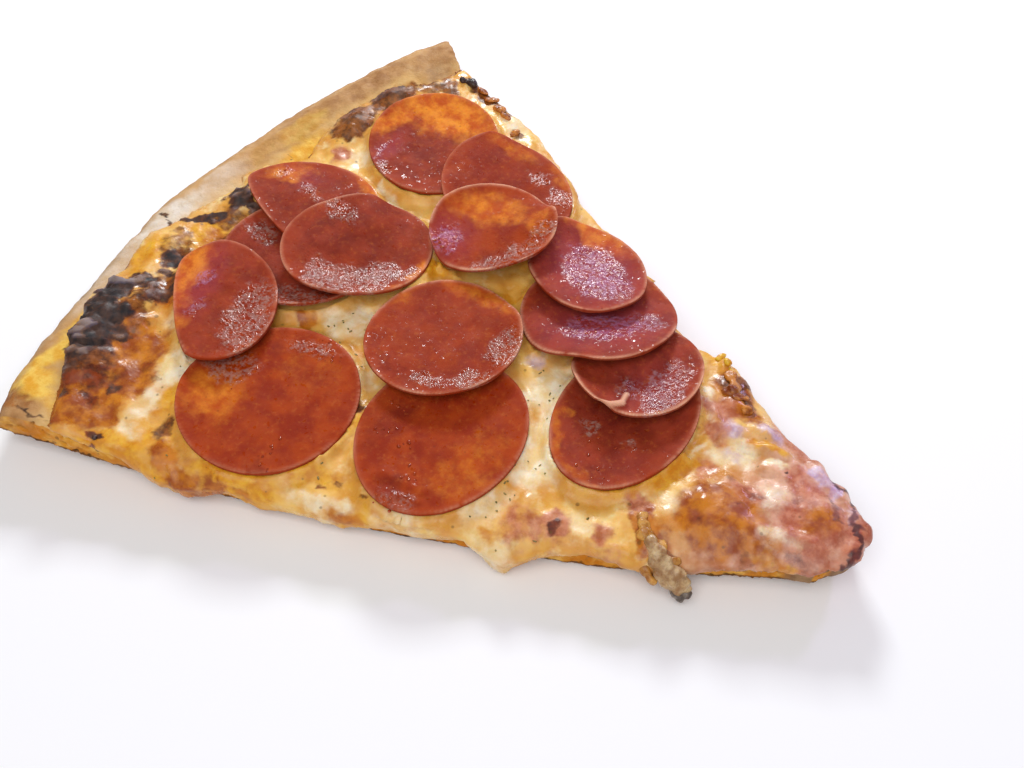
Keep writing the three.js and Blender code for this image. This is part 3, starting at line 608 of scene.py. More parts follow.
def makeCheese(pepperoniTree, pepperoniEdges):
    sizes = cheeseSettings
    piece = copyNode("melted_cheese", "meltedCheese")
    remesh(piece, sizes["voxel"], sizes["smooth"])
    places, facing = points(piece), points(piece, "normal")
    inner = ease(-facing[:, 2], 0.5, 0.9)
    masks = {}
    for number, (name, patches) in enumerate({**bakeMarks, **cheesePatches}.items()):
        soft = 0.35 if name in bakeMarks else 0.7
        masks[name] = patchMask(places, patches, sizes["wander"], sizes["wanderSize"], number * 3, soft)
    towardsTip = ease(places[:, 0] / mm + planMiddle[0], sizes["tipStart"], sizes["tipFull"])
    move = softNoise(places, sizes["lumpSize"], 3) * sizes["lumps"]
    move += softNoise(places, sizes["midSize"], 2, 17) * sizes["midLumps"]
    move += softNoise(places, sizes["fineSize"], 3, 7) * sizes["fineLumps"] * (1 + 2 * masks["brown"])
    # the cheese ran towards the near cut, so its strands are drawn out that way
    along = places[:, 0] * nearSide[0] + places[:, 1] * nearSide[1]
    across = places[:, 1] * nearSide[0] - places[:, 0] * nearSide[1]
    drawnOut = np.stack([along * 0.3, across, places[:, 2] * 0.5], axis=1)
    move += (np.abs(softNoise(drawnOut, sizes["strandSize"], 2, 27)) - 0.2) * sizes["strands"]
    tough = 0.5 - 2.0 * np.abs(softNoise(places, sizes["toughSize"], 1, 12))
    move += tough * sizes["tough"] * towardsTip
    # burnt cheese crumples in folds that lie across the slice
    crumpled = np.stack([along, across * 0.55, places[:, 2] * 0.5], axis=1)
    folds = 1.8 * np.abs(softNoise(crumpled, sizes["foldSize"], 1, 21)) - 0.3
    folds += 0.7 * np.abs(softNoise(crumpled, sizes["smallFoldSize"], 1, 23))
    folds += 0.25 * softNoise(places, sizes["crinkleSize"], 2, 25)
    move += folds * sizes["blister"] * ease(masks["char"], 0.55, 1.0)
    move += softNoise(places, sizes["crispSize"], 2, 31) * sizes["crisp"] * ease(masks["brown"], 0.3, 0.9)
    move = (move + patchMask(places, cheeseRelief, 1.0, 5, 50, 0.8)) * (1 - inner)
    # towards the rim the cheese laps a little over the edge of the sauce
    outward = rimWay(places)[0]
    overRim = ease((outward * facing[:, :2]).sum(1), 0.45, 0.85) * sizes["overRim"]
    overRim *= 1 + softNoise(places, sizes["overRimSize"], 2, 33)
    # the cheese meets the underside of each slice of pepperoni, and climbs its edge, where oil pools
    greasy = np.zeros(len(places))
    for index in np.flatnonzero(facing[:, 2] >= 0.1):
        spot = Vector(places[index])
        start = spot - Vector((0, 0, sizes["startBelow"] * mm))
        hit = pepperoniTree.ray_cast(start, Vector((0, 0, 1)))[0]
        edge = pepperoniEdges.find(spot)[0]
        flatAway = math.hypot(edge.x - spot.x, edge.y - spot.y) / mm
        lift = (edge.z - spot.z) / mm
        beside = lift < sizes["climbLimit"]
        near = math.exp(-(flatAway / sizes["climbReach"]) ** 2) if beside else 0.0
        climb = sizes["climb"] * near
        if hit is not None and hit.z - spot.z < sizes["overhang"] * mm:
            rise = max(sizes["meet"], lift * near + climb) * mm
            places[index, 2] = max(spot.z, min(hit.z + (climb - 0.1) * mm, spot.z + rise))
            move[index] = min(move[index], 0.2, (hit.z - places[index, 2]) / mm + climb + 0.25)
        elif beside:
            greasy[index] = math.exp(-(flatAway / sizes["greaseReach"]) ** 2)
            move[index] += max(0.0, lift + sizes["climb"]) * near
    places += facing * move[:, None] * mm
    places[:, :2] += outward * overRim[:, None] * mm
    setPoints(piece, places)
    masks |= {"raised": ease(folds, *np.percentile(folds, (30, 92))), "tip": towardsTip, "greasy": greasy}
    for name, values in masks.items():
        setMask(piece, name, values)
    piece.data.materials.append(cheeseMaterial())
    smoothShade(piece)
    return piece


def cheeseMaterial():
    material, tree, shader = newMaterial("meltedCheese", Specular_IOR_Level=0.42, Subsurface_Weight=0.25,
                                         Subsurface_Radius=(1.0, 0.6, 0.25), Subsurface_Scale=0.002)
    tones = cheeseSettings["colours"]
    cream = twoTone(tree, 12, tones["cream"], detail=2.0)
    cream = laid(tree, cream, mottle(tree, 8, 0.4, 0.7, 2, 2.0), tones["tan"], 0.5)
    cream = laid(tree, cream, mottle(tree, 5, 0.5, 0.75, 3, 3.0), tones["paleCream"], 0.7)
    grease = mathNode(tree, "MULTIPLY", mask(tree, "greasy"), mottle(tree, 6, 0.35, 0.65, 3, 32.0))
    cream = laid(tree, cream, grease, twoTone(tree, 5, tones["grease"], 31.0), 0.7)
    shade = laid(tree, cream, mask(tree, "tip"), twoTone(tree, 6, tones["tip"], 13.0, 3.0), 0.9)
    for number, (name, amount, low, high, size, coat) in enumerate(cheeseCoats):
        where = ragged(tree, mask(tree, name), low, high, size, 20.0 + number, 0.3)
        shade = laid(tree, shade, where, twoTone(tree, size, coat, 5.0 + number, 3.0), amount)
    singed = ragged(tree, mask(tree, "char"), 0.3, 0.8, 2.5)
    shade = laid(tree, shade, singed, twoTone(tree, 2.5, tones["singed"], 42.0))
    soot = twoTone(tree, 3, tones["soot"], 8.0)
    # painted highlight: the raised folds of the char are lighter, and their tops lighter still, as a
    # sheen
    ridgeSheen = ramp(tree, mask(tree, "raised"), 0.35, 0.8)
    soot = laid(tree, soot, ridgeSheen, twoTone(tree, 5, tones["ridgeSheen"], 41.0), 0.8)
    soot = laid(tree, soot, ramp(tree, mask(tree, "raised"), 0.75, 1.0), tones["ridgeHighlight"], 0.5)
    shade = laid(tree, shade, ragged(tree, mask(tree, "char"), 0.62, 1.2, 2.5, 4.0, 0.5), soot)
    shade = laid(tree, shade, specks(tree, 2.6, 0.16, 0.3), tones["specks"], 0.55)
    roughness = ramp(tree, mottle(tree, 5, 0.35, 0.65, 3, 9.0), 0, 1, *cheeseSettings["roughness"])
    dull = scaled(tree, ramp(tree, mask(tree, "char"), 0.4, 0.8), cheeseSettings["charDulls"])
    roughness = mathNode(tree, "ADD", roughness, dull, clamp=True)
    finish(tree, shader, shade, roughness, [(mottle(tree, 3, 0.15, 0.85, 2, 3.0), 0.1),
                                            (mottle(tree, 1.0, 0.2, 0.8, 2, 1.0), 0.03)])
    return material


# each slice, lowest first: how maroon it is, how strong the painted highlight on its rim, then patches
# of orange fat, of darker cure and painted shade under upper slices and lips, of painted lilac
# reflection, and of grained meat that glints; a curl is its heading, where it starts and how steep it
# gets
pepperoniLooks = [
    {"maroon": 0.0, "rim": 0.35, "orange": [(24, -38, 8, 12, 0, 0.5)],
     "dark": [(-4, -40, 8, 14, 0, 0.6), (15, -54, 8, 2.5, 10, 0.7)],
     "glints": [(16, -57, 7, 2.4, 12, 0.5)],
     "folds": [((8, -53), (19, -51), 1.6, 0.8), ((12, -57), (20, -54), 1.3, 0.7)]},
    {"maroon": 0.05, "rim": 0.3, "orange": [(-45, -62, 10, 9, 40, 0.6), (-30, -40, 12, 7, 0, 0.3)],
     "dark": [(-18, -71, 4, 3, 0, 0.8), (-46, -36, 8, 4, -30, 0.5)],
     "glints": [(-47, -52, 7, 5, 40, 0.9), (-34, -34, 8, 2.4, 20, 0.8)]},
    {"maroon": 0.8, "rim": 0.5,
     "orange": [((34, -9), (36, -16), 1.6, 0.55), ((36, -16), (42, -23.5), 1.8, 0.6),
                ((42, -23.5), (56, -24), 1.2, 0.45)],
     "dark": [(44, -3, 12, 5, 0, 0.8)], "glints": [(42, -9, 2.6, 2, 0, 0.7), (54, -8, 1.6, 1.6, 0, 0.7)]},
    {"maroon": 0.95, "rim": 0.5, "curls": [(-51, 6, 0.008)], "orange": [],
     "dark": [(-45, -28, 12, 3, 20, 0.4)],
     "glints": [(-50, -25, 12, 5, 28, 1), (-78, -11, 6, 4, 0, 0.7)]},
    {"maroon": 0.8, "rim": 0.25, "lilacReflection": [(-71, 38, 3, 8, 0, 0.8)],
     "orange": [(-66, 63, 19, 10, 8, 1), (-46, 58, 7, 9, 40, 0.9), (-78, 50, 4, 10, 0, 0.9)], "dark": [],
     "glints": [(-65, 29, 5, 2.4, -50, 0.8), (-71, 38, 1.6, 5, 0, 0.5)]},
    {"maroon": 0.7, "rim": 0.35, "lilacReflection": [(-84, 14, 8, 4, 0, 0.6)],
     "orange": [(-89, 13, 7, 5, 40, 0.8), (-62, 22, 12, 3, -20, 0.9)],
     "dark": [(-78, -2, 14, 12, -20, 0.6)],
     "glints": [(-90, 11, 2.5, 3, 0, 0.6), (-76, 9, 7, 2.4, -20, 0.5)]},
    {"maroon": 0.95, "rim": 1.0, "lilacReflection": [(50, 8, 8, 12, 0, 0.4)], "curls": [(-51, 5, 0.006)],
     "orange": [(33, 20, 5, 6, 0, 0.3)], "dark": [(43, -5, 2.4, 1.6, 30, 1)],
     "glints": [(52, 9, 5, 10, 10, 1), (44, 6, 4, 4, 0, 0.7)],
     "lips": [((40.6, -8.4), (41.2, -5.6), 1.0, 1.0), ((41.2, -5.6), (44, -3.8), 1.1, 1.4),
              ((44, -3.8), (45.9, -1.1), 1.1, 1.4), ((45.9, -1.1), (45.1, 2.3), 1.0, 1.0),
              ((45.1, 2.3), (42.7, 5.4), 0.9, 0.6)]},
    {"maroon": 0.9, "rim": 0.8, "lilacReflection": [(27, 18, 16, 10, 35, 1)], "curls": [(-40, 7, 0.007)],
     "orange": [(18, 40, 12, 3, 10, 0.4)], "dark": [],
     "glints": [(27, 18, 11, 5.4, 35, 1), (36, 26, 5, 4, 0, 0.7)]},
    {"maroon": 0.45, "rim": 0.3,
     "orange": [(-16, 60, 10, 3, -25, 0.6), (-38, 60, 8, 3, 0, 0.6), (2, 50, 3, 6, 0, 0.7)],
     "dark": [(-42, 40, 8, 5, 0, 0.4)],
     "glints": [(-24, 56, 4, 3, 0, 0.6), (-14, 54, 5, 3, -20, 0.7), (-2, 54, 2.4, 3, 0, 0.7)]},
    {"maroon": 0.9, "rim": 0.6, "tilt": 0.2, "lilacReflection": [(14, 33, 18, 12, -25, 1)],
     "orange": [(5, 46.5, 14, 4, -6, 1)], "dark": [((-6, 22), (12, 18), 2.5, 0.8)],
     "glints": [(14, 33, 13, 7.5, -25, 1)]},
    {"maroon": 0.45, "rim": 0.7, "curls": [(-35, 9, 0.0085)],
     "orange": [(-8, 8, 16, 4, 0, 0.55), (-26, -4, 3, 8, 0, 0.4)],
     "dark": [((-22, -24), (0, -30), 2.2, 0.5)],
     "glints": [(10, -4, 5, 7, 20, 1), (9, -18, 6, 3, 45, 1), (0, -25, 5, 2.2, 10, 0.9)]},
    {"maroon": 0.7, "rim": 0.6, "curls": [(-55, 4, 0.0075)], "orange": [((-29, 6), (-27, -4), 2.4, 0.9)],
     "dark": [(-50, 2, 16, 12, 0, 0.5)],
     "glints": [(-48, -16, 5, 7, 50, 1), (-41, -12.5, 6, 6, 0, 1), (-35.5, -5, 4.6, 8, 0, 1),
                (-60, 6, 7, 3, -10, 0.7), (-30, 2, 2.4, 5, 0, 0.6)]},
    {"maroon": 0.6, "rim": 0.4, "lilacReflection": [(-74, -38, 5, 12, 25, 0.9)],
     "orange": [(-80, -38, 6, 12, 20, 1), (-70, -54, 5, 6, 30, 0.7)],
     "dark": [(-57, -50, 8, 4, -30, 0.4)], "folds": [((-77, -24), (-62, -54), 6, 1.5)],
     "glints": [(-54, -39, 6, 14, 28, 1), (-74, -36, 2.4, 3.4, 0, 1), (-68, -46, 2.4, 3.6, 0, 1)]},
    {"maroon": 0.15, "rim": 1.0, "lilacReflection": [(-29, 17, 7, 8, 0, 1)], "curls": [(-40, 8, 0.009)],
     "orange": [(-26, 33, 13, 6, 20, 0.75), (-12, 36, 8, 4, 0, 0.6)], "dark": [(-12, 18, 9, 5, 20, 0.5)],
     "glints": [(-29, 17, 4.4, 5.4, 0, 1), (-11, 16, 6, 4, 50, 1), (-5.5, 23, 4.8, 7, 10, 1),
                (-6, 34, 2.8, 5, 0, 1)]},
]
pepperoniSettings = {
    "levels": 3, "crease": 0.45, "lip": 0.1, "lipWidth": 1.3, "lipInset": 0.7, "waves": 0.12,
    "waveSize": 11, "pucker": 0.12, "puckerSize": 2.2, "puckerReach": 2.5, "thinEdge": 0.85,
    "thinReach": 2.2, "tilt": 0.1, "rimWidth": 0.75, "sideReach": 2.5, "glowReach": 2.2,
    "roughness": (0.7, 0.8), "gloss": 0.6, "wrinkleDepth": 0.2, "grainDepth": 0.06,
    "colours": {
        "meat": ("#902602", "#A83C04"), "maroon": ("#7C2414", "#983620"), "fat": ("#C25204", "#EE9024"),
        "cureAndShade": ("#661206", "#80260E"), "lilacReflection": "#A8405C", "paleSpots": "#CC702C",
        "specks": "#5A1406", "edgeGlow": "#B8440A", "side": "#A23408", "rim": "#F0B694",
        "paintedGlints": ("#BCB6AE", "#C89ED4")}}


def makePepperoni(number, look, material):
    form = pepperoniSettings
    node = f"pepperoni_{number:02d}"
    piece = copyNode(node, f"pepperoniSlice{number:02d}", quads=True)
    mesh = piece.data
    side, flat = set(), set()
    for face in mesh.polygons:
        upright = abs(face.normal.z) < 0.25
        (side if upright else flat).update(tuple(sorted(key)) for key in face.edge_keys)
    rim = side & flat
    crease = mesh.attributes.new("crease_edge", "FLOAT", "EDGE")
    for edge in mesh.edges:
        crease.data[edge.index].value = form["crease"] if tuple(sorted(edge.vertices)) in rim else 0.0
    rimPlaces = [mesh.vertices[a].co.lerp(mesh.vertices[b].co, s) for a, b in sorted(rim)
                 for s in (0, 0.25, 0.5, 0.75)]
    applyModifier(piece, "SUBSURF", levels=form["levels"], render_levels=form["levels"])
    near = nearestOf(rimPlaces)
    places, facing = points(piece), points(piece, "normal")
    away = np.array([near.find(Vector(p))[2] for p in places]) / mm
    masks = {name: patchMask(places, look[name], 3.0, 7, number * 2.3, 0.7)
             for name in ("orange", "dark")}
    lift = softNoise(places, form["waveSize"], 2, number * 3.1) * form["waves"]
    offset = (places - (places.min(0) + places.max(0)) / 2) / mm
    for heading, start, steep in look.get("curls", []):
        turn = math.radians(heading)
        beyond = offset[:, 0] * math.cos(turn) + offset[:, 1] * math.sin(turn) - start
        lift += steep * np.maximum(beyond, 0) ** 2
    # an oily grained place leans a little, so that it catches the light
    for spot in look["glints"]:
        ahead = (places[:, :2] / mm + planMiddle - spot[:2]) @ nearSide
        leaning = patchMask(places, [spot], 0.5, 5, number, 0.9) * ahead
        lift += leaning * look.get("tilt", form["tilt"])
    lips = patchMask(places, look.get("lips", []), 0.2, 5, number, 0.9)
    lift += patchMask(places, look.get("folds", []), 0.8, 5, number * 1.3, 0.9) + lips
    lip = np.exp(-((away - form["lipInset"]) / form["lipWidth"]) ** 2) * form["lip"]
    lift += np.where(facing[:, 2] > 0, 1, 0.6) * lip
    pucker = softNoise(places * (1, 1, 0.2), form["puckerSize"], 2, number * 5.3) * form["pucker"]
    lift += pucker * np.exp(-away / form["puckerReach"])
    # the edge is pared thin from below
    pared = ease(-facing[:, 2], -0.2, 0.6) * np.exp(-(away / form["thinReach"]) ** 2)
    lift += pared * form["thinEdge"]
    places[:, 2] += lift * mm
    setPoints(piece, places)
    # painted highlight: a pale line, broken up, along the top of the rim
    broken = ease(facing[:, 2], -0.2, 0.3) * ease(softNoise(places, 8, 2, number), -0.7, 0.3)
    rimHighlight = np.exp(-(away / form["rimWidth"]) ** 2) * broken * look["rim"]
    masks |= {"maroon": look["maroon"] + softNoise(places, 10, 2, number * 4.1) * 0.25,
              "grainy": patchMask(places, look["glints"], 2.0, 4, number * 2.9, 0.5),
              "rim": np.maximum(rimHighlight, 0.9 * ease(lips, 0.6, 1.0)),
              "lilacReflection": patchMask(places, look.get("lilacReflection", []), 2.0, 5, number, 0.8),
              "side": ease(1 - np.abs(facing[:, 2]), 0.35, 0.75) * (away < form["sideReach"]),
              "edgeGlow": np.exp(-away / form["glowReach"])}
    for name, values in masks.items():
        setMask(piece, name, values)
    mesh.materials.append(material)
    smoothShade(piece)
    return piece, node


def pepperoniMaterial():
    material, tree, shader = newMaterial("curedPepperoni", Specular_IOR_Level=0.22,
                                         Subsurface_Weight=0.12, Subsurface_Scale=0.001,
                                         Subsurface_Radius=(1.0, 0.25, 0.1))
    tones = pepperoniSettings["colours"]
    meat = twoTone(tree, 7, tones["meat"], detail=2.0)
    meat = laid(tree, meat, mask(tree, "maroon"), twoTone(tree, 6, tones["maroon"], 3.0, 2.0))
    fatty = ragged(tree, mask(tree, "orange"), 0.2, 1.1, 2.5, 9.0, 0.2)
    meat = laid(tree, meat, fatty, twoTone(tree, 5, tones["fat"], 7.0))
    # darker cure, and painted shade where an upper slice or a curled lip overhangs
    cureAndShade = ragged(tree, mask(tree, "dark"), 0.3, 1.3, 5.0, 10.0, 0.3)
    meat = laid(tree, meat, cureAndShade, twoTone(tree, 4, tones["cureAndShade"], 8.0))
    # painted reflection: a purple cast where the cool back light is mirrored on the meat
    meat = laid(tree, meat, mask(tree, "lilacReflection"), tones["lilacReflection"], 0.35)
    meat = laid(tree, meat, mottle(tree, 1.3, 0.5, 0.8, 3, 12.0), tones["paleSpots"], 0.3)
    meat = laid(tree, meat, specks(tree, 1.1, 0.2, 0.4), tones["specks"], 0.25)
    # painted light: rim is a painted highlight along the top of the edge, edgeGlow a painted glow of
    # light through the thin edge
    for name, amount in (("edgeGlow", 0.4), ("side", 0.8), ("rim", 0.9)):
        meat = laid(tree, meat, mask(tree, name), tones[name], amount)
    grainy = ragged(tree, mask(tree, "grainy"), 0.35, 0.9, 2.5, 16.0, 0.35)
    # painted highlight: thin pale streaks, lilac where the lilac reflection is painted, stand in for the
    # glints where the meat is grained
    paintedGlints = mathNode(tree, "MULTIPLY", grainy, mottle(tree, 1.1, 0.4, 0.62, 3, 18.0))
    meat = laid(tree, meat, paintedGlints, mixColour(tree, mask(tree, "lilacReflection"), *tones["paintedGlints"]), 0.28)
    wet = mottle(tree, 1.3, 0.6, 0.66, 2, 21.0)
    shiny = mathNode(tree, "MAXIMUM", ramp(tree, grainy, 0.05, 0.5), wet)
    dull = ramp(tree, mottle(tree, 4, 0.3, 0.7, 2, 1.0), 0, 1, *pepperoniSettings["roughness"])
    roughness = mathNode(tree, "SUBTRACT", dull, scaled(tree, shiny, pepperoniSettings["gloss"]))
    wrinkled = mathNode(tree, "ADD", scaled(tree, grainy, 0.7), 0.3)
    wrinkles = mathNode(tree, "MULTIPLY", mottle(tree, 1.2, 0.25, 0.75, 2, 19.0), wrinkled)
    grained = mathNode(tree, "ADD", scaled(tree, grainy, 0.94), 0.06)
    grains = mathNode(tree, "MULTIPLY", pebbles(tree, 0.6), grained)
    finish(tree, shader, meat, roughness, [(wrinkles, pepperoniSettings["wrinkleDepth"]),
                                           (grains, pepperoniSettings["grainDepth"])])
    return material


# torn and browned bits, each a cluster of small lumps fused together
# a lump is x, y, its height or None to lie on the surface, length, width, thickness and heading
tornBits = {
    "brownedLumps": [
        (62.2, 27.6, None, 5, 4, 1.6, 70), (65, 25, None, 4.4, 5.4, 1.8, 30),
        (67.8, 22.8, None, 5.5, 3.6, 1.4, 0), (71.4, 20.6, None, 3.4, 4, 1.4, 50),
        (64, 22.6, None, 3, 4, 1.2, 0), (-66, 80.5, None, 6, 4, 1.4, -20),
        (-61, 78.6, None, 6, 3.6, 1.4, 10), (-56, 77, None, 5, 4, 1.6, -30),
        (-52, 75, None, 5, 2.6, 1.2, 0), (-45, 71, None, 4.4, 2.6, 1.2, -20)],
    "charredLumps": [
        (-70.5, 80.5, None, 4.6, 3.4, 2.4, 0), (-73.5, 79.5, None, 3, 2.8, 2, 30),
        (-68, 82, None, 2.4, 2, 1.6, 0), (-59.5, -90, None, 1.6, 1.4, 1.2, 0)],
    "amberStrand": [
        (67.6, -22.6, None, 4, 3, 1.6, 60), (69, -24.6, None, 4, 3.4, 2.2, 60),
        (70.6, -27, None, 4, 3.4, 2.6, 60), (71.8, -29, 9.6, 4, 3, 3.4, 50),
        (73.4, -30.6, 8, 4, 3, 3.6, 30), (75.2, -32, 6.6, 3.6, 2.8, 3.6, 20),
        (77.4, -32.6, 5.4, 3.6, 2.6, 3, 0), (72.6, -26, None, 6, 3, 1.4, 30),
        (76, -26.6, None, 6, 3, 1.6, 0), (80, -27.2, None, 5, 3, 2, 0)],
    "tornDrip": [
        (73.4, -27.6, None, 5, 4, 2.6, 30), (76, -28.6, None, 5, 4.6, 3, 10),
        (78.4, -28.8, None, 5, 4.4, 3, 0), (77, -30, 9.4, 5, 3.6, 4, 10), (79.8, -29.8, 8.6, 5, 4, 4, 0),
        (82, -28.6, 8, 5, 4, 4, 0), (78.6, -31.2, 7.4, 4, 3.2, 3.6, 0),
        (81.6, -30.4, 6.6, 4.6, 3.6, 4, -10), (84, -29, 6.2, 4, 3.6, 3.6, -10),
        (80.6, -31.4, 5.6, 4, 3, 3.4, 0), (83.4, -30.4, 5, 4, 3.2, 3.6, -20),
        (85.2, -29.2, 4.4, 3, 3, 3.2, 0)],
    "grilledCrumb": [
        (83.6, -30.8, 3.6, 3.6, 3, 3, 20), (85.8, -29.8, 3.8, 3, 2.8, 2.8, 0),
        (85, -31, 2.4, 2.6, 2.6, 2.4, 0)],
    "fatScraps": [
        (56, 33, None, 4, 2.4, 1.4, 10), (58.6, 32, None, 3, 3.4, 1.8, 60),
        (61, 30.4, None, 3.4, 2, 1.2, 0)],
}
tornSettings = {
    "voxel": 0.32, "roughness": 0.4, "lumpSize": 3.0, "sink": 0.4, "smooth": 7,
    "colours": {
        "brownedLumps": ("#7C340E", "#D08634"), "charredLumps": ("#2A1B17", "#5A403A"),
        "tornDrip": ("#9A7046", "#D2B488"), "amberStrand": ("#9C5E20", "#D6A050"),
        "grilledCrumb": ("#54463E", "#94867A"), "fatScraps": ("#D08A10", "#F0C640")}}
herbPlaces = [
    (-37, -20), (-33, -20.5), (-30, -25), (-22, -29), (-26, -22), (20, -2), (31, -7), (28, -4),
    (36, -23), (40, -28), (37, -33), (39, -36), (39, -40), (33, -31), (24, -9), (35, -48), (-38, -25),
    (30, -56), (-9, -63), (46, -50), (-61, -56), (-44, -84), (27, -12), (53, -29)]
herbSettings = {"rounds": 2, "spread": 2.5, "length": (0.4, 1.1), "width": (0.3, 0.6), "height": 0.25,
                "sink": 0.3, "colours": ("#6A6230", "#9A8A50")}
# places of oily beads: x, y, spread, how many
beadPlaces = [
    (-2, -35, 2.5, 4), (0, -42, 3, 6), (7, -44, 3, 5), (12, -49, 2.5, 4), (16, -50, 2, 4),
    (15, -57, 4, 7), (-45, -50, 5, 8), (-27, -32, 3, 4), (-31, -30, 2, 3), (-19, -64, 3, 5),
    (-17, -69, 2, 3), (-75, -13, 3, 3), (48, -10, 6, 5), (50, -19, 4, 4), (-90, 11, 2, 3),
    (-76, 10, 3, 4), (24, 16, 5, 5), (-24, 56, 3, 5), (-60, 8, 4, 5), (-30, 15, 2, 4), (-66, 32, 3, 5)]
beadSettings = {"size": (0.35, 0.95), "stretch": (1, 1.6), "flatness": 0.4, "sink": 0.2,
                "roughness": (0.05, 0.14), "colours": ("#8E2C0C", "#AE4414")}
rayHeight = 60  # above all of the slice


def spread(template, name, surface, spots, sink, material):
    # copies of one small shape, laid on the surface or at their own height and joined, in millimetres
    copies = []
    for x, y, level, length, width, height, heading in spots:
        hit, facing = surface.ray_cast(toFrame(x, y, rayHeight), Vector((0, 0, -1)))[:2]
        if level is not None:
            hit, facing = toFrame(x, y, level), Vector((0, 0, 1))
        elif hit is None:
            continue
        copy = bpy.data.objects.new(name, template.data.copy())
        bpy.context.scene.collection.objects.link(copy)
        turn = facing.to_track_quat("Z", "Y") @ Quaternion((0, 0, 1), math.radians(heading))
        middle = hit + facing * height * (0.5 - sink) * mm
        copy.matrix_world = Matrix.LocRotScale(middle, turn, Vector((length, width, height)))
        copies.append(copy)
    bpy.ops.object.select_all(action="DESELECT")
    for copy in copies:
        copy.select_set(True)
    bpy.context.view_layer.objects.active = copies[0]
    bpy.ops.object.join()
    joined = bpy.context.view_layer.objects.active
    joined.name = name
    bpy.ops.object.transform_apply(location=True, rotation=True, scale=True)
    joined.data.materials.clear()
    joined.data.materials.append(material)
    bpy.ops.object.shade_smooth()
    return joined


def fuse(piece):
    remesh(piece, tornSettings["voxel"], tornSettings["smooth"])
    places, facing = points(piece), points(piece, "normal")
    move = softNoise(places, tornSettings["lumpSize"], 2, 6) * tornSettings["roughness"]
    places += facing * move[:, None] * mm
    places[:, 2] = np.maximum(places[:, 2], lowest * mm)
    setPoints(piece, places)
    smoothShade(piece)


def lumpTemplate(subdivisions, roughness):
    bpy.ops.object.select_all(action="DESELECT")
    bpy.ops.mesh.primitive_ico_sphere_add(subdivisions=subdivisions, radius=0.5 * mm)
    template = bpy.context.object
    places, facing = points(template), points(template, "normal")
    places += facing * (softNoise(places, 0.55, 3, 6) * roughness)[:, None] * mm
    setPoints(template, places)
    return template


def bitMaterial(name, tones):
    material, tree, shader = newMaterial(name, Specular_IOR_Level=0.4, Subsurface_Weight=0.3,
                                         Subsurface_Radius=(1.0, 0.6, 0.3), Subsurface_Scale=0.0015)
    shade = twoTone(tree, 2.6, tones, 2.0)
    shade = laid(tree, shade, mottle(tree, 0.7, 0.5, 0.7, 3, 5.0), tones[0], 0.5)
    roughness = ramp(tree, mottle(tree, 1.4, 0.3, 0.7, 3), 0, 1, 0.2, 0.5)
    finish(tree, shader, shade, roughness, [(mottle(tree, 0.8, 0.2, 0.8, 3, 3.0), 0.06)])
    return material


def makeToppings(surface, cheeseOnly):
    pieces = []
    lump = lumpTemplate(3, 0.1)
    for name, spots in tornBits.items():
        material = bitMaterial(name + "Finish", tornSettings["colours"][name])
        piece = spread(lump, name, surface, spots, tornSettings["sink"], material)
        fuse(piece)
        pieces.append((piece, "melted_cheese"))
    flake = lumpTemplate(2, 0.5)
    away, length, width = herbSettings["spread"], herbSettings["length"], herbSettings["width"]
    herbs = [(x + random.gauss(0, away), y + random.gauss(0, away), None, random.uniform(*length),
              random.uniform(*width), herbSettings["height"], random.uniform(0, 360))
             for x, y in herbPlaces * herbSettings["rounds"]]
    material = bitMaterial("driedHerb", herbSettings["colours"])
    pieces.append((spread(flake, "herbFlecks", cheeseOnly, herbs, herbSettings["sink"], material),
                   "melted_cheese"))
    bead = lumpTemplate(2, 0.06)
    beads = []
    for x, y, reach, count in beadPlaces:
        for step in range(count):
            size = random.uniform(*beadSettings["size"])
            beads.append((x + random.gauss(0, reach / 2), y + random.gauss(0, reach / 2), None,
                          size * random.uniform(*beadSettings["stretch"]), size,
                          size * beadSettings["flatness"], random.uniform(0, 360)))
    material, tree, shader = newMaterial("redOil", IOR=1.45, Specular_IOR_Level=0.6)
    shade = twoTone(tree, 3, beadSettings["colours"])
    roughness = ramp(tree, mottle(tree, 2), 0, 1, *beadSettings["roughness"])
    finish(tree, shader, shade, roughness, [(mottle(tree, 0.9, 0.2, 0.8, 2), 0.03)])
    pieces.append((spread(bead, "oilBeads", surface, beads, beadSettings["sink"], material), "pepperoni"))
    for template in (lump, flake, bead):
        bpy.data.objects.remove(template)
    return pieces


cameraView = {"lookAt": (10.5, -2.4, 0), "distance": 326, "azimuth": 39.3, "elevation": 53.0,
              "roll": -1.8, "lens": 40.43}
# share is how bright a white level surface gets from the light alone
lights = {
    "window": {"azimuth": 216, "elevation": 30, "distance": 0.9, "size": (0.22, 0.15), "share": 0.34,
               "tint": "#F4FBFF"},
    "sideWindow": {"azimuth": 172, "elevation": 30, "distance": 0.9, "size": (0.09, 0.07), "share": 0.08,
                   "tint": "#D4C6FF"},
    "ceiling": {"azimuth": 25, "elevation": 60, "distance": 1.6, "size": (1.6, 1.6), "share": 0.62,
                "tint": "#FFFDFA"},
}
surroundings = {"share": 0.26, "tint": "#FBFCFF"}
floorLook = {"size": 6, "drop": 0.2, "roughness": 0.7, "tint": "#FAF9FB"}


def outFrom(azimuth, elevation):
    a, e = math.radians(azimuth), math.radians(elevation)
    return Vector((math.sin(a) * math.cos(e), -math.cos(a) * math.cos(e), math.sin(e)))


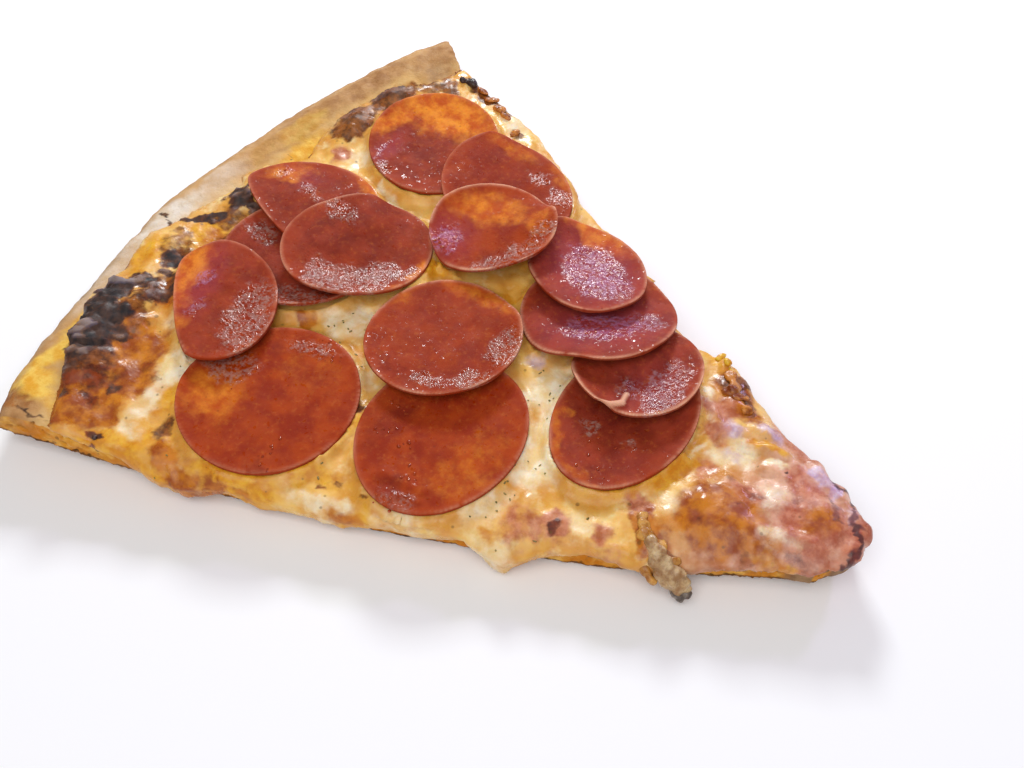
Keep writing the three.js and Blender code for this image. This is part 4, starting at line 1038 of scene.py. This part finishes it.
def makeCamera():
    back = outFrom(cameraView["azimuth"], cameraView["elevation"])
    data = bpy.data.cameras.new("camera")
    data.lens = cameraView["lens"]
    data.sensor_width = 36
    data.clip_start, data.clip_end = 0.01, 20
    camera = bpy.data.objects.new("camera", data)
    bpy.context.scene.collection.objects.link(camera)
    camera.rotation_mode = "QUATERNION"
    camera.location = toFrame(*cameraView["lookAt"]) + back * cameraView["distance"] * mm
    roll = Quaternion((0, 0, 1), math.radians(cameraView["roll"]))
    camera.rotation_quaternion = (-back).to_track_quat("-Z", "Y") @ roll
    bpy.context.scene.camera = camera


def addLight(name, azimuth, elevation, distance, size, share, tint):
    data = bpy.data.lights.new(name, "AREA")
    data.shape = "RECTANGLE"
    data.size, data.size_y = size
    data.energy = share * math.pi ** 2 * distance ** 2 / math.sin(math.radians(elevation))
    data.color = colour(tint)[:3]
    light = bpy.data.objects.new(name, data)
    bpy.context.scene.collection.objects.link(light)
    out = outFrom(azimuth, elevation)
    light.rotation_mode = "QUATERNION"
    light.location = out * distance
    light.rotation_quaternion = out.to_track_quat("Z", "Y")


def makeStudio():
    world = bpy.data.worlds.new("studioWhite")
    world.use_nodes = True
    background = world.node_tree.nodes["Background"].inputs
    background["Color"].default_value = colour(surroundings["tint"])
    background["Strength"].default_value = surroundings["share"]
    bpy.context.scene.world = world
    bpy.context.scene.view_settings.view_transform = "Standard"
    for name, settings in lights.items():
        addLight(name, **settings)
    bpy.ops.object.select_all(action="DESELECT")
    bpy.ops.mesh.primitive_plane_add(size=floorLook["size"], location=(0, 0, -floorLook["drop"] * mm))
    floor = bpy.context.object
    floor.name = "floor"
    material, tree, shader = newMaterial("paleFloor", Roughness=floorLook["roughness"],
                                         Base_Color=colour(floorLook["tint"]))
    floor.data.materials.append(material)


print("crust")
crust = makeCrust()
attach(crust, body)
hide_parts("crust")

print("sauce")
sauce = makeSauce()
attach(sauce, body)
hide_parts("tomato_sauce")

print("cheese")
pepperoniTree, pepperoniEdges = pepperoniAround()
cheese = makeCheese(pepperoniTree, pepperoniEdges)
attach(cheese, body)
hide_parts("melted_cheese")

print("pepperoni")
cured = pepperoniMaterial()
shown = [crust, cheese]
for number, look in enumerate(pepperoniLooks, 1):
    piece, node = makePepperoni(number, look, cured)
    shown.append(piece)
    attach(piece, body)
    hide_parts(node)

print("small toppings")
for piece, slotName in makeToppings(surfaceOf(shown), surfaceOf([cheese])):
    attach(piece, body)

print("studio")
makeStudio()
makeCamera()
